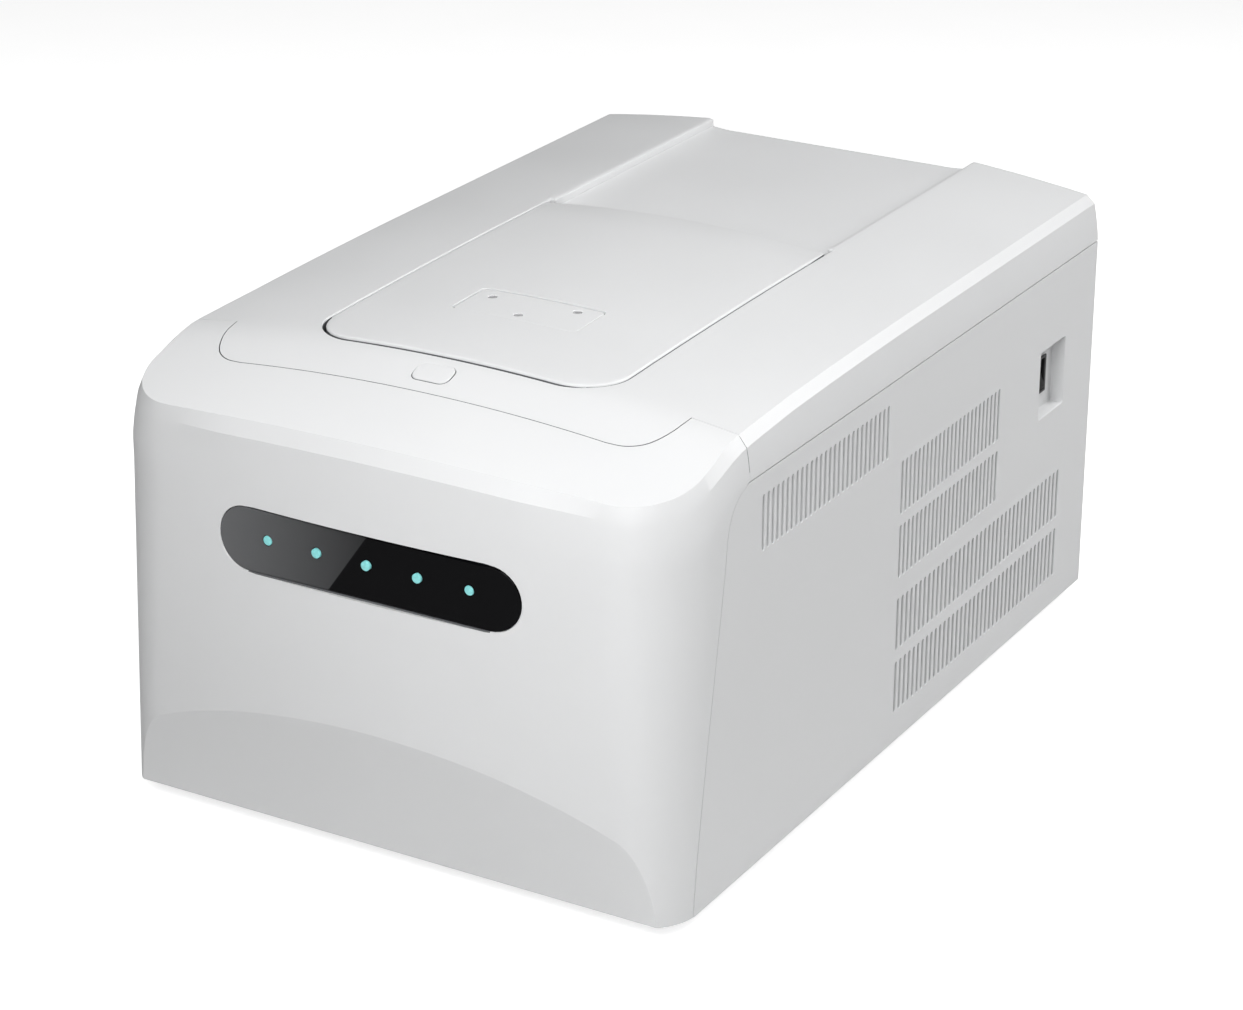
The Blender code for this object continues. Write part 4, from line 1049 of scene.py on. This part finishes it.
def window_gloss(name):
    """Black gloss pane with a painted reflection: its left part is painted a lighter grey up to a slanting
    edge, strongest at the left end and fading towards the middle.
    """
    mat = grained(name, (0.006, 0.006, 0.007), 0.10, 0.004, 0.000004, tint=0.10)
    nodes = mat.node_tree.nodes
    links = mat.node_tree.links
    shader = shader_of(mat)
    shader.inputs["Specular IOR Level"].default_value = 0.06
    where = nodes.new("ShaderNodeTexCoord")
    split = nodes.new("ShaderNodeSeparateXYZ")
    links.new(where.outputs["Object"], split.inputs["Vector"])
    # the painted reflection's edge runs from x 0 at the top of the pane to x -0.0236 at its foot
    lean_out = nodes.new("ShaderNodeMath")
    lean_out.operation = "MULTIPLY_ADD"
    lean_out.inputs[1].default_value = -0.711
    lean_out.inputs[2].default_value = 0.1291
    links.new(split.outputs["Z"], lean_out.inputs[0])
    side = nodes.new("ShaderNodeMath")
    side.operation = "ADD"
    links.new(split.outputs["X"], side.inputs[0])
    links.new(lean_out.outputs["Value"], side.inputs[1])
    reflection_mask = nodes.new("ShaderNodeMapRange")
    reflection_mask.inputs["From Min"].default_value = -0.0003
    reflection_mask.inputs["From Max"].default_value = 0.0003
    reflection_mask.inputs["To Min"].default_value = 1.0
    reflection_mask.inputs["To Max"].default_value = 0.0
    links.new(side.outputs["Value"], reflection_mask.inputs["Value"])
    reflection_fade = nodes.new("ShaderNodeMapRange")
    reflection_fade.inputs["From Min"].default_value = -0.088
    reflection_fade.inputs["From Max"].default_value = 0.0
    reflection_fade.inputs["To Min"].default_value = 1.0
    reflection_fade.inputs["To Max"].default_value = 0.18
    links.new(split.outputs["X"], reflection_fade.inputs["Value"])
    reflection_amount = nodes.new("ShaderNodeMath")
    reflection_amount.operation = "MULTIPLY"
    links.new(reflection_mask.outputs["Result"], reflection_amount.inputs[0])
    links.new(reflection_fade.outputs["Result"], reflection_amount.inputs[1])
    # painted reflection: the pane's own black (A) is mixed towards a lighter grey (B) left of the edge
    blend = nodes.new("ShaderNodeMix")
    blend.data_type = "RGBA"
    blend.inputs["A"].default_value = (0.003, 0.003, 0.0035, 1.0)
    blend.inputs["B"].default_value = (0.130, 0.132, 0.136, 1.0)
    links.new(reflection_amount.outputs["Value"], blend.inputs["Factor"])
    links.new(blend.outputs["Result"], shader.inputs["Base Color"])
    return mat


def lens(name):
    """Milky cyan lens under a thin clear coat."""
    return grained(name, (0.24, 0.68, 0.68), 0.22, 0.0008, 0.000008, tint=0.12, patch=700.0, coat=0.4)


def materials():
    return {
        "shell": grained("shell_white", (0.66, 0.665, 0.67), 0.42, 0.0009, 0.000012, tint=0.008),
        "window": window_gloss("window_black"),
        "lens": lens("light_cyan"),
        "board": grained("board_green", (0.015, 0.11, 0.045), 0.45, 0.003, 0.00002, tint=0.2, patch=120.0),
        "screw": grained("screw_light", (0.66, 0.66, 0.67), 0.35, 0.0004, 0.00001, metallic=0.6),
        "carrier": grained("carrier_grey", (0.11, 0.115, 0.12), 0.55, 0.0007, 0.00004, tint=0.06),
        "black": grained("black_plastic", (0.012, 0.012, 0.013), 0.38, 0.0006, 0.00002, tint=0.12),
        "steel": brushed("steel", (0.58, 0.58, 0.59), 0.32, 0),
        "zinc": spangled("galvanised"),
        "aluminium": brushed("aluminium", (0.74, 0.75, 0.76), 0.34, 0),
        "ceramic": grained("ceramic", (0.78, 0.76, 0.70), 0.62, 0.0012, 0.00003),
        "rubber": grained("rubber", (0.018, 0.018, 0.018), 0.82, 0.0008, 0.00005, tint=0.15),
    }


# ================================================================ carried-over CAD nodes
def keep(names, mat, width=0.0004):
    """Give CAD nodes a real material and broken edges."""
    for name in names:
        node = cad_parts[name]
        for holder in node.material_slots:
            holder.material = mat
        weld = node.modifiers.new("weld", "WELD")
        weld.merge_threshold = 0.00001
        if width:
            edge = node.modifiers.new("edge", "BEVEL")
            edge.width = width
            edge.segments = 2
            edge.limit_method = "ANGLE"
            edge.angle_limit = math.radians(40)
            edge.harden_normals = True


def keep_nodes(mats):
    keep(["rear_panel"], mats["shell"], 0.0003)
    keep(["rear_screw_%d" % n for n in range(1, 5)], mats["steel"], 0.0003)
    keep(["base_plate", "chassis_stand", "button_guide", "latch_bracket", "data_port"],
         mats["zinc"])
    keep(["foot_" + where for where in ("front_left", "front_right", "rear_left", "rear_right")],
         mats["rubber"], 0.0008)
    keep(["indicator_board", "main_board"], mats["board"])
    keep(["lid_inner_frame", "bay_floor"], mats["carrier"])
    keep(["strike_plate", "hinge_bracket_left", "hinge_bracket_right", "hinge_pin_left", "hinge_pin_right",
          "latch_pin"], mats["steel"], 0.0003)
    keep(["lid_spring_left", "lid_spring_right", "button_spring"], mats["steel"], 0.0)
    keep(["heated_plate", "heat_sink"], mats["aluminium"], 0.0003)
    keep(["latch_arm", "sink_fan_frame", "sink_fan_rotor", "rear_fan_frame", "rear_fan_rotor", "mains_inlet",
          "fuse_drawer"], mats["black"])
    keep(["switch_frame", "switch_rocker"], mats["black"], 0.0005)
    keep(["block_gasket"], mats["rubber"])
    keep(["thermal_module"], mats["ceramic"])
    keep(["power_supply"], mats["zinc"])


# ================================================================ studio
def area_light(name, location, target, size, power):
    data = bpy.data.lights.new(name, "AREA")
    data.shape = "RECTANGLE"
    data.size, data.size_y = size
    data.energy = power
    made = bpy.data.objects.new(name, data)
    made.location = location
    made.rotation_euler = (Vector(target) - Vector(location)).to_track_quat("-Z", "Y").to_euler()
    made.visible_camera = False
    bpy.context.scene.collection.objects.link(made)


def floor_paper():
    """Matt white paper with a faint glow that only the camera sees, so that it lights nothing."""
    paper = grained("floor_white", (0.68, 0.68, 0.68), 0.8, 0.02, 0.00005, tint=0.004)
    glow = paper.node_tree.nodes.new("ShaderNodeEmission")
    glow.inputs["Strength"].default_value = FLOOR_GLOW
    seen = paper.node_tree.nodes.new("ShaderNodeLightPath")
    both = paper.node_tree.nodes.new("ShaderNodeAddShader")
    choose = paper.node_tree.nodes.new("ShaderNodeMixShader")
    out = paper.node_tree.nodes["Material Output"]
    links = paper.node_tree.links
    links.new(shader_of(paper).outputs["BSDF"], both.inputs[0])
    links.new(glow.outputs["Emission"], both.inputs[1])
    links.new(seen.outputs["Is Camera Ray"], choose.inputs["Fac"])
    links.new(shader_of(paper).outputs["BSDF"], choose.inputs[1])
    links.new(both.outputs["Shader"], choose.inputs[2])
    links.new(choose.outputs["Shader"], out.inputs["Surface"])
    return paper


def studio():
    """Pale floor, dim even surroundings and soft lights from the front, above, left and rear right."""
    corners = [(sx * FLOOR_HALF, sy * FLOOR_HALF, 0) for sx, sy in ((-1, -1), (1, -1), (1, 1), (-1, 1))]
    floor = solid(corners, [(0, 1, 2, 3)], "floor")
    floor.data.materials.append(floor_paper())

    world = bpy.data.worlds.new("studio")
    world.use_nodes = True
    sky = world.node_tree.nodes["Background"]
    sky.inputs["Color"].default_value = (0.985, 0.992, 1.0, 1.0)
    sky.inputs["Strength"].default_value = WORLD_STRENGTH
    bpy.context.scene.world = world

    for name, location, target, size, power in LIGHTS:
        area_light(name, location, target, size, power)
    bpy.context.scene.view_settings.view_transform = "Standard"


def camera():
    """The viewing angle: from the front right, looking down."""
    data = bpy.data.cameras.new("camera")
    data.lens = CAMERA_LENS
    data.sensor_width = CAMERA_SENSOR
    data.sensor_fit = "HORIZONTAL"
    made = bpy.data.objects.new("camera", data)
    made.location = CAMERA_PLACE
    made.rotation_euler = CAMERA_TURN
    bpy.context.scene.collection.objects.link(made)
    bpy.context.scene.camera = made


# ================================================================ assembly
def build():
    mats = materials()
    shell = mats["shell"]
    skin = outer_skin()
    # the carrier grey also serves as painted shade on the deep faces of the housing pieces
    inside = mats["carrier"]
    paint_gap_shade(front_fascia(shell), skin, inside)
    paint_gap_shade(top_cover(shell), skin, inside, shown_boxes())
    rear_deck(shell)
    side_panel(shell, -1)
    side_panel(shell, 1)
    indicator_window(mats["window"])
    for number, x in enumerate(light_places(), 1):
        indicator_light(mats["lens"], number, x)
    paint_gap_shade(lid_panel(shell), skin, inside)
    lid_access_plate(shell)
    for number, (x, y) in enumerate(LID_SCREWS, 1):
        lid_screw(mats["screw"], number, x, y)
    paint_gap_shade(release_button(shell), skin, inside)
    sample_block(mats["aluminium"])
    keep_nodes(mats)
    studio()
    camera()


build()
